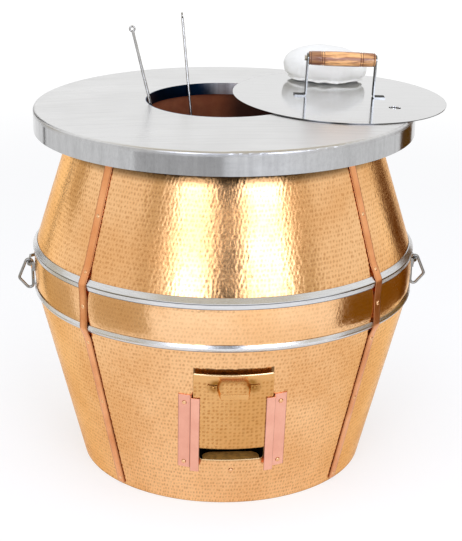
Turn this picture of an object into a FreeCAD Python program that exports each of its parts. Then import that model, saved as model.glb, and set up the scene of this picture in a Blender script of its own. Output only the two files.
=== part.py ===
import FreeCAD, Part
import math
import os
from FreeCAD import Placement, Rotation, Vector

os.makedirs("parts", exist_ok=True)

# Home tandoor: a clay oven pot packed in a barrel of hammered brass, with a steel top plate.
# It stands on the floor at z = 0. The barrel's axis is Z and the draft door faces -Y.
# The lid lies over the +X half of the mouth. All lengths are in millimetres, angles in degrees.

# Top plate and mouth
plate_inset = 4.0
plate_edge_height = 735.0
plate_crown = 9.6
plate_skirt = 44.5
plate_corner = 5.0
plate_sheet = 1.5
mouth_radius = 156.0
collar_depth = 24.0
collar_sheet = 1.5
collar_flange = 18.0

# Barrel
base_radius = 294.5
lower_joint_height = 365.0
joint_radius = 384.0
belly_height = 87.6
belly_bulge = 3.3
plate_overhang = 72.3
shell_sheet = 1.5
pan_sheet = 3.0
pan_lip = 18.0

# Hoops and straps over the joints
upper_hoop_height = 21.5
upper_hoop_proud = 5.0
lower_hoop_height = 14.4
lower_hoop_proud = 4.0
hoop_edge = 1.5
hoop_ridge = 3.0
strap_width = 20.0
strap_sheet = 1.6
strap_angle = 46.0
strap_tuck = 15.0
strap_ease_above = 24.0
strap_ease_below = 16.0
strap_foot = 3.0
strap_rivet_low = 198.0
strap_rivet_margin = 12.0

# Clay pot
pot_wall = 36.0
pot_belly_radius = 238.0
pot_belly_height = 380.0
pot_foot_radius = 196.0
pot_foot_height = 95.0
pot_floor_height = 62.0
pot_floor_corner = 26.0
pot_floor_thickness = 36.0
pot_mouth_gap = 2.5

# Draft opening, its sill and the sliding door
draft_lip_height = 107.0
draft_width = 124.0
draft_height = 140.0
draft_corner = 8.0
tunnel_width = 112.0
tunnel_height = 128.0
pot_draft_width = 108.0
pot_draft_height = 112.0
pot_arch_cover = 17.0
sill_width = 110.0
sill_depth = 34.0
sill_drop = 36.0
sill_sheet = 1.5
sill_corner = 18.0
door_width = 151.0
door_height = 178.0
door_sheet = 1.5
door_overlap = 3.0
door_raise = 36.5
door_spare_travel = 40.0
guide_length = 178.0
guide_start = 86.0
guide_cover = 17.0
guide_flange = 23.0
guide_sheet = 1.2
guide_rivet_inset = 16.0
pull_height = 12.0
pull_below_top = 24.0
pull_crest_width = 50.0
pull_flank = 5.0
pull_foot = 20.0
pull_proud = 28.0
pull_sheet = 1.5

# Lid with its strip legs and turned grip
lid_radius = 215.7
lid_sheet = 1.5
lid_centre_x = 233.4
lid_centre_y = 22.5
lid_lean_azimuth = 60.0
vent_radius = 12.0
vent_x = 99.7
vent_y = -82.3
grip_length = 134.0
grip_end_radius = 13.6
grip_middle_radius = 14.8
grip_groove_inset = 26.0
grip_groove = 1.0
grip_height = 76.0
bolt_radius = 3.0
bolt_head_radius = 4.2
bolt_head = 1.6
nut_width = 10.0
nut_height = 5.0
leg_width = 20.0
leg_sheet = 2.5
leg_foot = 22.0

# Cotton pad lying on the lid
pad_width = 182.0
pad_depth = 130.0
pad_height = 77.0
pad_x = -11.0
pad_y = 164.0
pad_base_angle = -35.0
pad_top_angle = 84.0
pad_sections = 7
pad_crest_shift = -10.0

# Swinging handles at both sides of the belly
handle_below_hoop = 31.9
bracket_width = 6.0
bracket_foot_width = 14.0
bracket_bar = 4.0
bracket_leg = 3.0
bracket_foot_end = 50.0
bracket_foot_start = 36.0
bracket_slope = 9.5
bracket_pin_length = 16.0
handle_rod_radius = 3.0
handle_play = 0.6
handle_forward = 17.0
handle_out = 13.0
handle_elbow_drop = 31.0
handle_drop = 46.0

# Skewers
skewer_radius = 3.0
skewer_point = 24.0
skewer_point_radius = 0.8
skewer_eye_radius = 5.2
skewer_eye_wire = 1.9
left_skewer_length = 850.0
left_skewer_azimuth = -75.7
left_skewer_lean = 13.3
left_skewer_turn = 0.0
right_skewer_length = 834.0
right_skewer_azimuth = -153.7
right_skewer_lean = 10.8
right_skewer_turn = 90.0

# Rivets
rivet_head_radius = 4.6
rivet_head_height = 2.5
rivet_top_radius = 0.8
rivet_shank_radius = 2.2
rivet_shank = 1.0

# Clearances
seat_gap = 0.3
packing_gap = 0.6
sheet_gap = 0.1
rivet_gap = 0.05
door_gap = 6.5
guide_gap = 0.6
guide_side_play = 3.2
grip_gap = 0.08
grip_end_play = 0.6

ORIGIN = Vector(0, 0, 0)
X_AXIS = Vector(1, 0, 0)
Y_AXIS = Vector(0, 1, 0)
Z_AXIS = Vector(0, 0, 1)

# Derived heights, slopes and radii
plate_radius = joint_radius - plate_inset
skirt_edge_height = plate_edge_height - plate_skirt
plate_slope = plate_crown / (plate_radius - mouth_radius)
mouth_height = plate_edge_height + plate_crown
shell_top_radius = plate_radius - plate_overhang
upper_joint_height = lower_joint_height + belly_height
lower_slope = math.atan((joint_radius - base_radius) / lower_joint_height)
upper_rise = skirt_edge_height - upper_joint_height
upper_taper = (joint_radius - shell_top_radius) / upper_rise
lower_sheet_across = shell_sheet / math.cos(lower_slope)
upper_sheet_across = shell_sheet * math.hypot(1, upper_taper)
belly_radius_max = joint_radius + belly_bulge
upper_crest = joint_radius + sheet_gap + upper_hoop_proud
lower_crest = joint_radius + sheet_gap + lower_hoop_proud
handle_height = upper_joint_height - upper_hoop_height / 2 - handle_below_hoop


def plate_top(radius):
    return plate_edge_height + plate_slope * (plate_radius - radius)


def plate_under(radius):
    return plate_top(radius) - plate_sheet


def lower_radius(height):
    return base_radius + math.tan(lower_slope) * height


def upper_radius(height):
    return joint_radius - upper_taper * (height - upper_joint_height)


def belly_radius(height):
    share = (height - lower_joint_height) / belly_height
    return joint_radius + 4 * belly_bulge * share * (1 - share)


# The upper shell ends just under the sloping plate, where the two lines meet.
upper_shell_top = (
    plate_edge_height - plate_sheet - seat_gap
    + plate_slope * (plate_radius - upper_radius(0))
) / (1 - plate_slope * upper_taper)


def save(name, shape):
    shape.exportStep("parts/" + name + ".step")
    print(name, len(shape.Solids), "solids", round(shape.Volume / 1000, 1), "cm3")


def line(start, end):
    return Part.LineSegment(start, end).toShape()


def polyline(points):
    return [line(a, b) for a, b in zip(points, points[1:])]


def bezier(points):
    curve = Part.BezierCurve()
    curve.setPoles(points)
    return curve.toShape()


def arc(start, middle, end):
    return Part.Arc(start, middle, end).toShape()


def turned(edges):
    """Solid of revolution about Z from edges that close a profile in the X-Z plane."""
    return Part.Face(Part.Wire(edges)).revolve(ORIGIN, Z_AXIS, 360)


def turned_polygon(points):
    corners = [Vector(radius, 0, height) for radius, height in points]
    return turned(polyline(corners + corners[:1]))


def extruded(points, travel):
    return Part.Face(Part.makePolygon(points + points[:1])).extrude(travel)


def block(x_range, y_range, z_range):
    size = [high - low for low, high in (x_range, y_range, z_range)]
    return Part.makeBox(size[0], size[1], size[2], Vector(x_range[0], y_range[0], z_range[0]))


def rounded(shape, radius, test):
    """Fillet the straight edges whose two ends both pass the test."""
    edges = [edge for edge in shape.Edges if all(test(vertex.Point) for vertex in edge.Vertexes)]
    return shape.makeFillet(radius, edges)


def around(shape, azimuth):
    """Turn a shape modelled on the +X side to an azimuth counted from -Y towards +X."""
    turned_shape = shape.copy()
    turned_shape.rotate(ORIGIN, Z_AXIS, azimuth - 90)
    return turned_shape


def rivet():
    """Domed rivet along +X: its head sits on x = 0 and its shank goes to -X."""
    dome = arc(
        Vector(0, rivet_head_radius, 0),
        Vector(rivet_head_height * 0.7, rivet_head_radius * 0.68, 0),
        Vector(rivet_head_height, rivet_top_radius, 0),
    )
    shank = polyline([
        Vector(rivet_head_height, rivet_top_radius, 0),
        Vector(rivet_head_height, 0, 0),
        Vector(-rivet_shank, 0, 0),
        Vector(-rivet_shank, rivet_shank_radius, 0),
        Vector(0, rivet_shank_radius, 0),
        Vector(0, rivet_head_radius, 0),
    ])
    return Part.Face(Part.Wire([dome] + shank)).revolve(ORIGIN, X_AXIS, 360)


def rivet_hole():
    depth = rivet_head_height + rivet_shank + rivet_gap
    start = Vector(rivet_head_height, 0, 0)
    return Part.makeCylinder(rivet_shank_radius + rivet_gap, depth, start, Vector(-1, 0, 0))


def placed(shape, placement):
    moved = shape.copy()
    moved.Placement = placement.multiply(moved.Placement)
    return moved


def cone_placement(radius, height, tilt, azimuth):
    """Place what points along +X on a turned surface whose outward normal rises by tilt."""
    lay = Placement(Vector(radius, 0, height), Rotation(Y_AXIS, -tilt))
    return Placement(ORIGIN, Rotation(Z_AXIS, azimuth - 90)).multiply(lay)


# Shells of the barrel

def make_base_pan():
    rim = lower_sheet_across + sheet_gap
    return turned_polygon([
        (0, 0),
        (lower_radius(0) - rim, 0),
        (lower_radius(pan_lip) - rim, pan_lip),
        (lower_radius(pan_lip) - rim - pan_sheet, pan_lip),
        (lower_radius(pan_sheet) - rim - pan_sheet, pan_sheet),
        (0, pan_sheet),
    ])


def front_sector():
    """Room between the two front straps, where the front sheet of the lower barrel sits."""
    far = 2 * joint_radius
    swing = math.radians(strap_angle)
    side = far * math.sin(swing)
    ahead = -far * math.cos(swing)
    corners = [Vector(0, 0, -far), Vector(-side, ahead, -far), Vector(side, ahead, -far)]
    return extruded(corners, Vector(0, 0, 2 * far))


def make_lower_sheets():
    """Front sheet with the draft opening, and back sheet; they meet under the front straps."""
    top = lower_joint_height - sheet_gap / 2
    shell = turned_polygon([
        (lower_radius(0) - lower_sheet_across, 0),
        (lower_radius(0), 0),
        (lower_radius(top), top),
        (lower_radius(top) - lower_sheet_across, top),
    ])
    half = draft_width / 2
    far = -2 * base_radius
    opening = block((-half, half), (far, 0), (draft_lip_height, draft_lip_height + draft_height))
    sides = [edge for edge in opening.Edges if abs(edge.Vertexes[0].Y - edge.Vertexes[-1].Y) > 1]
    front = front_sector()
    back_sheet = shell.cut(front)
    front.translate(Vector(0, -sheet_gap, 0))
    front_sheet = shell.common(front).cut(opening.makeFillet(draft_corner, sides))
    return front_sheet, back_sheet


def belly_curve(inset):
    """Outline of the belly between the two joints, moved in by inset, and its two ends."""
    low = lower_joint_height + sheet_gap / 2
    high = upper_joint_height - sheet_gap / 2
    start = belly_radius(low) - inset
    end = belly_radius(high) - inset
    swell = 2 * belly_bulge * ((high - low) / belly_height) ** 2
    middle = (start + end) / 2 + swell
    return [Vector(start, 0, low), Vector(middle, 0, (low + high) / 2), Vector(end, 0, high)]


def make_belly_band():
    outside = belly_curve(0)
    inside = belly_curve(shell_sheet)
    return turned([
        bezier(outside),
        line(outside[-1], inside[-1]),
        bezier(inside),
        line(inside[0], outside[0]),
    ])


def make_upper_shell():
    low = upper_joint_height + sheet_gap / 2
    return turned_polygon([
        (upper_radius(low) - upper_sheet_across, low),
        (upper_radius(low), low),
        (upper_radius(upper_shell_top), upper_shell_top),
        (upper_radius(upper_shell_top) - upper_sheet_across, upper_shell_top),
    ])


def make_hoop(joint_height, height, crest, radius_below, radius_above):
    """Ridged band over a joint: two facets that meet in a narrow flat."""
    low = joint_height - height / 2
    high = joint_height + height / 2
    inner_low = radius_below(low) + sheet_gap
    inner_high = radius_above(high) + sheet_gap
    return turned_polygon([
        (inner_low, low),
        (inner_low + hoop_edge, low),
        (crest, joint_height - hoop_ridge / 2),
        (crest, joint_height + hoop_ridge / 2),
        (inner_high + hoop_edge, high),
        (inner_high, high),
        (joint_radius + sheet_gap, joint_height),
    ])


# Straps with their rivets

def strap_path():
    """Inner face of a strap, from under the plate's skirt to the floor."""
    top = skirt_edge_height + strap_tuck
    above = upper_joint_height + upper_hoop_height / 2 + strap_ease_above
    under = upper_joint_height - upper_hoop_height / 2 - strap_ease_below
    over = lower_joint_height + lower_hoop_height / 2 + strap_ease_below
    below = lower_joint_height - lower_hoop_height / 2 - strap_ease_below
    faces = [
        (upper_radius(top), top),
        (upper_radius(above), above),
        (upper_crest, upper_joint_height + hoop_ridge / 2),
        (upper_crest, upper_joint_height - hoop_ridge / 2),
        (belly_radius_max, under),
        (belly_radius_max, over),
        (lower_crest, lower_joint_height + hoop_ridge / 2),
        (lower_crest, lower_joint_height - hoop_ridge / 2),
        (lower_radius(below), below),
        (lower_radius(strap_foot), strap_foot),
    ]
    return [(radius + sheet_gap, height) for radius, height in faces]


def strap_face(height):
    """Radius of a strap's outer face at a height, and how far its normal rises, in degrees."""
    path = strap_path()
    for (top_radius, top), (low_radius, low) in zip(path, path[1:]):
        if low <= height <= top:
            share = (height - low) / (top - low)
            radius = low_radius + share * (top_radius - low_radius) + strap_sheet
            return radius, math.degrees(math.atan2(low_radius - top_radius, top - low))


def strap_rivet_places():
    upper_hoop_top = upper_joint_height + upper_hoop_height / 2
    lower_hoop_low = lower_joint_height - lower_hoop_height / 2
    heights = [
        (skirt_edge_height + upper_hoop_top) / 2,
        upper_hoop_top + strap_rivet_margin,
        (upper_joint_height + lower_joint_height) / 2,
        lower_hoop_low - strap_ease_below - 2 * rivet_head_radius,
        strap_rivet_low,
        strap_foot + strap_rivet_margin,
    ]
    return [(height,) + strap_face(height) for height in heights]


def make_strap():
    inside = strap_path()
    outside = [(radius + strap_sheet, height) for radius, height in reversed(inside)]
    section = [Vector(radius, -strap_width / 2, height) for radius, height in inside + outside]
    strap = extruded(section, Vector(0, strap_width, 0))
    for height, radius, tilt in strap_rivet_places():
        strap = strap.cut(placed(rivet_hole(), cone_placement(radius, height, tilt, 90)))
    return strap


strap_places = {
    "strap_front_left": -strap_angle,
    "strap_front_right": strap_angle,
    "strap_back_left": strap_angle - 180,
    "strap_back_right": 180 - strap_angle,
}


def make_straps():
    strap = make_strap()
    rivets = []
    for name, azimuth in strap_places.items():
        save(name, around(strap, azimuth))
        for height, radius, tilt in strap_rivet_places():
            rivets.append(placed(rivet(), cone_placement(radius, height, tilt, azimuth)))
    save("strap_rivets", Part.makeCompound(rivets))


# Top plate and mouth collar

def make_top_plate():
    hole = mouth_radius + collar_sheet + rivet_gap
    bend = plate_radius - plate_corner
    turn_height = plate_edge_height - plate_corner
    slant = plate_corner * math.sqrt(0.5)
    inner = plate_radius - plate_sheet
    inner_bend = slant * (plate_corner - plate_sheet) / plate_corner
    outside = arc(
        Vector(bend, 0, plate_top(bend)),
        Vector(bend + slant, 0, turn_height + slant),
        Vector(plate_radius, 0, turn_height),
    )
    inside = arc(
        Vector(inner, 0, turn_height),
        Vector(bend + inner_bend, 0, turn_height + inner_bend),
        Vector(bend, 0, plate_under(bend)),
    )
    return turned([
        line(Vector(hole, 0, plate_top(hole)), Vector(bend, 0, plate_top(bend))),
        outside,
        line(Vector(plate_radius, 0, turn_height), Vector(plate_radius, 0, skirt_edge_height)),
        line(Vector(plate_radius, 0, skirt_edge_height), Vector(inner, 0, skirt_edge_height)),
        line(Vector(inner, 0, skirt_edge_height), Vector(inner, 0, turn_height)),
        inside,
        line(Vector(bend, 0, plate_under(bend)), Vector(hole, 0, plate_under(hole))),
        line(Vector(hole, 0, plate_under(hole)), Vector(hole, 0, plate_top(hole))),
    ])


def make_mouth_collar():
    outer = mouth_radius + collar_sheet
    flange = outer + collar_flange
    low = mouth_height - collar_depth
    return turned_polygon([
        (mouth_radius, low),
        (outer, low),
        (outer, plate_under(outer) - sheet_gap - collar_sheet),
        (flange, plate_under(flange) - sheet_gap - collar_sheet),
        (flange, plate_under(flange) - sheet_gap),
        (outer, plate_under(outer) - sheet_gap),
        (outer, plate_top(outer)),
        (mouth_radius, plate_top(outer)),
    ])


# Clay pot and the packing round it

pot_mouth_radius = mouth_radius + collar_sheet + pot_mouth_gap
pot_rim_height = plate_under(mouth_radius + collar_sheet + collar_flange) - sheet_gap - collar_sheet - seat_gap


def pot_form(grow, bottom):
    """Turned pot outline: narrow mouth, full belly, drawn-in foot, round floor corner."""
    mouth = pot_mouth_radius + grow
    belly = pot_belly_radius + grow
    foot = pot_foot_radius + grow
    shoulder = (pot_rim_height + 1.5 * pot_belly_height) / 2.5 + pot_wall
    flank = (pot_belly_height + pot_foot_height) / 2
    run = (belly - foot) / (flank - pot_foot_height)
    corner = foot - run * (pot_foot_height - bottom)
    floor = corner - pot_floor_corner
    return turned([
        line(Vector(0, 0, pot_rim_height), Vector(mouth, 0, pot_rim_height)),
        bezier([
            Vector(mouth, 0, pot_rim_height),
            Vector(belly, 0, shoulder),
            Vector(belly, 0, pot_belly_height),
        ]),
        bezier([
            Vector(belly, 0, pot_belly_height),
            Vector(belly, 0, flank),
            Vector(foot, 0, pot_foot_height),
        ]),
        bezier([
            Vector(foot, 0, pot_foot_height),
            Vector(corner, 0, bottom),
            Vector(floor, 0, bottom),
        ]),
        line(Vector(floor, 0, bottom), Vector(0, 0, bottom)),
        line(Vector(0, 0, bottom), Vector(0, 0, pot_rim_height)),
    ])


pot_underside = pot_floor_height - pot_floor_thickness


def make_pot_sections():
    """Base with the draft arch, and the body that stands on it."""
    pot = pot_form(pot_wall, pot_underside).cut(pot_form(0, pot_floor_height))
    half = pot_draft_width / 2
    low = draft_lip_height + sill_sheet
    spring = draft_lip_height + pot_draft_height - half
    far = -2 * base_radius
    arch = Part.makeCylinder(half, -far, Vector(0, far, spring), Y_AXIS)
    arch = arch.fuse(block((-half, half), (far, 0), (low, spring)))
    pot = pot.cut(arch)
    joint = draft_lip_height + pot_draft_height + pot_arch_cover
    wide = (far, -far)
    base = pot.common(block(wide, wide, (0, joint)))
    body = pot.common(block(wide, wide, (joint + sheet_gap, 2 * joint_radius)))
    return base, body


def make_insulation():
    start = pan_sheet + packing_gap
    rim = lower_sheet_across + sheet_gap
    lip_top = pan_lip + packing_gap
    top = upper_shell_top - packing_gap
    fill = turned_polygon([
        (0, start),
        (lower_radius(start) - rim - pan_sheet - packing_gap, start),
        (lower_radius(lip_top) - rim - pan_sheet - packing_gap, lip_top),
        (lower_radius(lip_top) - rim - packing_gap, lip_top),
        (joint_radius - rim - packing_gap, lower_joint_height),
        (joint_radius - upper_sheet_across - packing_gap, upper_joint_height),
        (upper_radius(top) - upper_sheet_across - packing_gap, top),
        (0, top),
    ])
    half = tunnel_width / 2
    low = draft_lip_height - sill_sheet - 2 * packing_gap
    far = -2 * base_radius
    tunnel = block((-half, half), (far, 0), (low, low + tunnel_height))
    pocket_half = sill_width / 2 + packing_gap
    pocket_low = draft_lip_height - sill_drop - 2 * packing_gap
    back = lower_radius(pocket_low) - lower_sheet_across - sill_sheet - sheet_gap - packing_gap
    pocket_back = -math.sqrt(back ** 2 - pocket_half ** 2)
    pocket = block((-pocket_half, pocket_half), (far, pocket_back), (pocket_low, low + packing_gap))
    return fill.cut(pot_form(pot_wall + packing_gap, pot_underside - packing_gap)).cut(tunnel).cut(pocket)


# Draft opening: sill, guides, door and pull

def lower_cone(offset, low, high):
    """Solid inside the lower shell's outer face, moved out by offset along the normal."""
    across = offset / math.cos(lower_slope)
    return turned_polygon([
        (0, low),
        (lower_radius(low) + across, low),
        (lower_radius(high) + across, high),
        (0, high),
    ])


def lower_front():
    """Frame on the front of the lower shell: local Z runs up the slope, local -Y points out."""
    return Placement(Vector(0, -base_radius, 0), Rotation(X_AXIS, math.degrees(lower_slope)))


def make_draft_sill():
    half = sill_width / 2
    top = draft_lip_height - seat_gap
    low = draft_lip_height - sill_drop
    inside = lower_cone(-shell_sheet - sheet_gap, 0, lower_joint_height)
    back = -(lower_radius(top) - lower_sheet_across - sill_depth)
    far = -2 * base_radius
    tongue = block((-half, half), (far, back), (top - sill_sheet, top))
    corners = [
        edge for edge in tongue.Edges
        if abs(edge.Vertexes[0].Z - edge.Vertexes[-1].Z) > sill_sheet / 2 and edge.Vertexes[0].Y > back - 1
    ]
    tongue = tongue.makeFillet(sill_corner, corners).common(inside)
    core = lower_cone(-shell_sheet - sheet_gap - sill_sheet, 0, lower_joint_height)
    flange = inside.cut(core).common(block((-half, half), (far, 0), (low, top)))
    return tongue.fuse(flange).removeSplitter()


def make_sill_rivet():
    height = draft_lip_height - sill_drop * 0.7
    return placed(rivet(), cone_placement(lower_radius(height), height, -math.degrees(lower_slope), 0))


def door_bottom():
    """Height of the door's lower edge up the slope, in the raised position of the photograph."""
    return draft_lip_height / math.cos(lower_slope) - door_overlap + door_raise


# The door is rolled to the barrel's radius at the top of its travel, so it clears the cone all the way.
door_top_of_travel = door_bottom() + door_height + door_spare_travel
door_roll = lower_radius(door_top_of_travel * math.cos(lower_slope)) / math.cos(lower_slope)


def rolled_sheet(gap, sheet, x_low, x_high, start, length):
    """Rolled sheet in front of the lower shell, between two x values, in the front frame."""
    centre = Vector(0, door_roll, start)
    outer = Part.makeCylinder(door_roll + gap + sheet, length, centre, Z_AXIS)
    inner = Part.makeCylinder(door_roll + gap, length, centre, Z_AXIS)
    window = block((x_low, x_high), (-door_roll / 4, door_roll / 4), (start, start + length))
    return outer.cut(inner).common(window)


def make_draft_door():
    half = door_width / 2
    sheet = rolled_sheet(door_gap, door_sheet, -half, half, door_bottom(), door_height)
    return placed(sheet, lower_front())


def roll_depth(radius, x):
    return door_roll - math.sqrt(radius ** 2 - x ** 2)


def pull_bottom():
    return door_bottom() + door_height - pull_below_top - pull_height


def pull_rivet_places():
    face = door_roll + door_gap + door_sheet + sheet_gap + pull_sheet
    x = pull_crest_width / 2 + pull_flank + pull_foot * 0.45
    swing = math.degrees(math.asin(x / face))
    height = pull_bottom() + pull_height / 2
    places = []
    for side in (-1, 1):
        spot = Vector(side * x, roll_depth(face, x), height)
        lay = Placement(spot, Rotation(Z_AXIS, side * swing - 90))
        places.append(lower_front().multiply(lay))
    return places


def make_door_pull():
    """Hat-shaped strip: two feet rolled to the door's face and a raised crest between them."""
    face = door_gap + door_sheet + sheet_gap
    inner = pull_crest_width / 2
    outer = inner + pull_flank
    end = outer + pull_foot
    start = pull_bottom()
    crest = -face - pull_proud
    feet = rolled_sheet(face, pull_sheet, -end, -inner, start, pull_height)
    feet = feet.fuse(rolled_sheet(face, pull_sheet, inner, end, start, pull_height))
    gap = pull_sheet * 1.2
    deep = roll_depth(door_roll + face, 0) + pull_proud
    hat = extruded([
        Vector(-outer, deep, start),
        Vector(-outer, 0, start),
        Vector(-inner, crest, start),
        Vector(inner, crest, start),
        Vector(outer, 0, start),
        Vector(outer, deep, start),
        Vector(outer - gap, deep, start),
        Vector(outer - gap, 0, start),
        Vector(inner - gap, crest + pull_sheet, start),
        Vector(gap - inner, crest + pull_sheet, start),
        Vector(gap - outer, 0, start),
        Vector(gap - outer, deep, start),
    ], Vector(0, 0, pull_height))
    under = Part.makeCylinder(door_roll + face, pull_height, Vector(0, door_roll, start), Z_AXIS)
    hollow = extruded([
        Vector(gap - outer, deep, start),
        Vector(gap - outer, 0, start),
        Vector(gap - inner, crest + pull_sheet, start),
        Vector(inner - gap, crest + pull_sheet, start),
        Vector(outer - gap, 0, start),
        Vector(outer - gap, deep, start),
    ], Vector(0, 0, pull_height))
    pull = placed(feet.cut(hollow).fuse(hat.cut(under)).removeSplitter(), lower_front())
    for place in pull_rivet_places():
        pull = pull.cut(placed(rivet_hole(), place))
    return pull


guide_web = door_width / 2 + guide_side_play
guide_heights = (guide_start + guide_rivet_inset, guide_start + guide_length - guide_rivet_inset)


def guide_rivet_places(side):
    x = guide_web + guide_sheet + guide_flange / 2
    places = []
    for up_slope in guide_heights:
        height = up_slope * math.cos(lower_slope)
        radius = lower_radius(height) + (sheet_gap + guide_sheet) / math.cos(lower_slope)
        azimuth = side * math.degrees(math.asin(x / radius))
        places.append(cone_placement(radius, height, -math.degrees(lower_slope), azimuth))
    return places


def make_door_guide(side):
    """Z-section rail: a flange on the shell, a web, and a lip over the door's edge."""
    near = guide_web + guide_sheet - guide_cover
    outer = guide_web + guide_sheet
    far = outer + guide_flange
    reach = door_roll / 4
    span = (guide_start, guide_start + guide_length)
    lip = rolled_sheet(door_gap + door_sheet + guide_gap, guide_sheet, near, outer, guide_start, guide_length)
    cap = Part.makeCylinder(
        door_roll + door_gap + door_sheet + guide_gap + guide_sheet / 2,
        guide_length,
        Vector(0, door_roll, guide_start),
        Z_AXIS,
    )
    web = block((guide_web, outer), (-reach, reach), span).common(cap)
    flange_window = block((guide_web, far), (-reach, reach), span)
    inside = lower_cone(sheet_gap, 0, lower_joint_height)
    skin = lower_cone(sheet_gap + guide_sheet, 0, lower_joint_height).cut(inside)
    flange = skin.common(placed(flange_window, lower_front()))
    guide = placed(lip.fuse(web), lower_front()).cut(inside).fuse(flange).removeSplitter()
    if side < 0:
        guide = guide.mirror(ORIGIN, X_AXIS)
    for place in guide_rivet_places(side):
        guide = guide.cut(placed(rivet_hole(), place))
    return guide


# Lid, legs, bolt, nut and grip, modelled on a level lid and then laid on the crowned plate

lid_lean = math.degrees(math.atan(plate_slope))
lean_x = math.sin(math.radians(lid_lean_azimuth))
lean_y = -math.cos(math.radians(lid_lean_azimuth))
lid_reach = lid_centre_x * lean_x + lid_centre_y * lean_y
lid_height = plate_top(lid_reach) + seat_gap
lid_rest = Placement(
    Vector(lid_centre_x, lid_centre_y, lid_height),
    Rotation(Vector(-lean_y, lean_x, 0), lid_lean),
)
leg_face = grip_length / 2 + grip_end_play
bolt_height = lid_sheet + grip_height


def make_lid_disc():
    vent = Part.makeCylinder(vent_radius, 3 * lid_sheet, Vector(vent_x, vent_y, -lid_sheet))
    return Part.makeCylinder(lid_radius, lid_sheet).cut(vent)


def make_lid_leg(side):
    """Strip leg with a round top and a foot turned outwards."""
    half = leg_width / 2
    upright = block((leg_face, leg_face + leg_sheet), (-half, half), (lid_sheet, bolt_height))
    head = Part.makeCylinder(half, leg_sheet, Vector(leg_face, 0, bolt_height), X_AXIS)
    end = leg_face + leg_sheet + leg_foot
    foot = block((leg_face, end), (-half, half), (lid_sheet, lid_sheet + leg_sheet))
    leg = upright.fuse(foot).removeSplitter()
    bend = leg_face + leg_sheet
    step = lid_sheet + leg_sheet
    leg = rounded(leg, leg_sheet * 0.8, lambda point: abs(point.x - bend) + abs(point.z - step) < 0.01)
    leg = rounded(leg, leg_sheet * 1.6, lambda point: abs(point.x - leg_face) + abs(point.z - lid_sheet) < 0.01)
    leg = leg.fuse(head).removeSplitter()
    hole = Part.makeCylinder(bolt_radius + rivet_gap, 3 * leg_sheet, Vector(leg_face - leg_sheet, 0, bolt_height), X_AXIS)
    leg = leg.cut(hole)
    return leg if side > 0 else leg.mirror(ORIGIN, X_AXIS)


def make_grip_bolt():
    start = -(leg_face + leg_sheet + sheet_gap + nut_height)
    end = leg_face + leg_sheet + sheet_gap
    shank = Part.makeCylinder(bolt_radius, end - start, Vector(start, 0, bolt_height), X_AXIS)
    head = Part.makeCone(bolt_head_radius, bolt_radius, bolt_head, Vector(end, 0, bolt_height), X_AXIS)
    return shank.fuse(head).removeSplitter()


def make_grip_nut():
    start = -(leg_face + leg_sheet + sheet_gap + nut_height)
    reach = nut_width / math.sqrt(3)
    corners = []
    for turn in range(6):
        angle = math.radians(60 * turn)
        corners.append(Vector(start, reach * math.cos(angle), bolt_height + reach * math.sin(angle)))
    nut = extruded(corners, Vector(nut_height, 0, 0))
    bore = Part.makeCylinder(bolt_radius + rivet_gap, 3 * nut_height, Vector(start - nut_height, 0, bolt_height), X_AXIS)
    return nut.cut(bore)


def make_lid_grip():
    """Turned wooden grip: slightly full in the middle, with a cut line near each end."""
    half = grip_length / 2
    groove = half - grip_groove_inset
    ease = 2 * grip_groove
    groove_radius = grip_end_radius + (grip_middle_radius - grip_end_radius) * 0.6
    bore = bolt_radius + grip_gap

    def at(x, radius):
        return Vector(x, radius, 0)

    edges = polyline([
        at(groove, groove_radius),
        at(groove + grip_groove, groove_radius - grip_groove),
        at(groove + ease, groove_radius),
        at(half - ease, grip_end_radius),
        at(half, grip_end_radius - ease),
        at(half, bore),
        at(-half, bore),
        at(-half, grip_end_radius - ease),
        at(ease - half, grip_end_radius),
        at(-groove - ease, groove_radius),
        at(-groove - grip_groove, groove_radius - grip_groove),
        at(-groove, groove_radius),
    ])
    barrel = arc(at(-groove, groove_radius), at(0, grip_middle_radius), at(groove, groove_radius))
    grip = Part.Face(Part.Wire(edges + [barrel])).revolve(ORIGIN, X_AXIS, 360)
    grip.translate(Vector(0, 0, bolt_height))
    return grip


# Cotton pad

def oval(half_width, half_depth, x, height):
    """Oval of four tangent arcs round (x, 0) at a height."""
    end = 0.8 * half_depth
    side = ((half_width - end) ** 2 + half_depth ** 2 - end ** 2) / (2 * (half_depth - end))
    lean = math.atan2(side - half_depth, half_width - end)
    edges = []
    meet_x = half_width - end + end * math.cos(lean)
    meet_y = end * math.sin(lean)
    corners = [(meet_x, meet_y), (-meet_x, meet_y), (-meet_x, -meet_y), (meet_x, -meet_y)]
    crests = [(0, half_depth), (-half_width, 0), (0, -half_depth), (half_width, 0)]
    for index in range(4):
        start, crest, finish = corners[index], crests[index], corners[(index + 1) % 4]
        points = [Vector(x + point[0], point[1], height) for point in (start, crest, finish)]
        edges.append(arc(*points))
    return Part.Wire(edges)


def make_pad():
    """Bun-shaped cushion: drawn in below, widest low down, with its crown towards the left."""
    low = math.sin(math.radians(pad_base_angle))
    high = math.sin(math.radians(pad_top_angle))
    base = lid_sheet + seat_gap
    wires = []
    for index in range(pad_sections):
        angle = pad_base_angle + (pad_top_angle - pad_base_angle) * index / (pad_sections - 1)
        share = (math.sin(math.radians(angle)) - low) / (high - low)
        scale = math.cos(math.radians(angle))
        shift = pad_crest_shift * share ** 2
        wires.append(oval(pad_width / 2 * scale, pad_depth / 2 * scale, shift, base + share * pad_height))
    pad = Part.makeLoft(wires, True, False)
    pad.translate(Vector(pad_x, pad_y, 0))
    return pad


# Side handles: a strip bracket on the belly and a three-sided ring that swings on it

bracket_pin_radius = math.hypot(bracket_bar, bracket_width) / 2
handle_bend_radius = bracket_pin_radius + handle_play + handle_rod_radius
handle_pivot = max(belly_radius_max, lower_crest) + seat_gap + handle_rod_radius + handle_bend_radius


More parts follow.
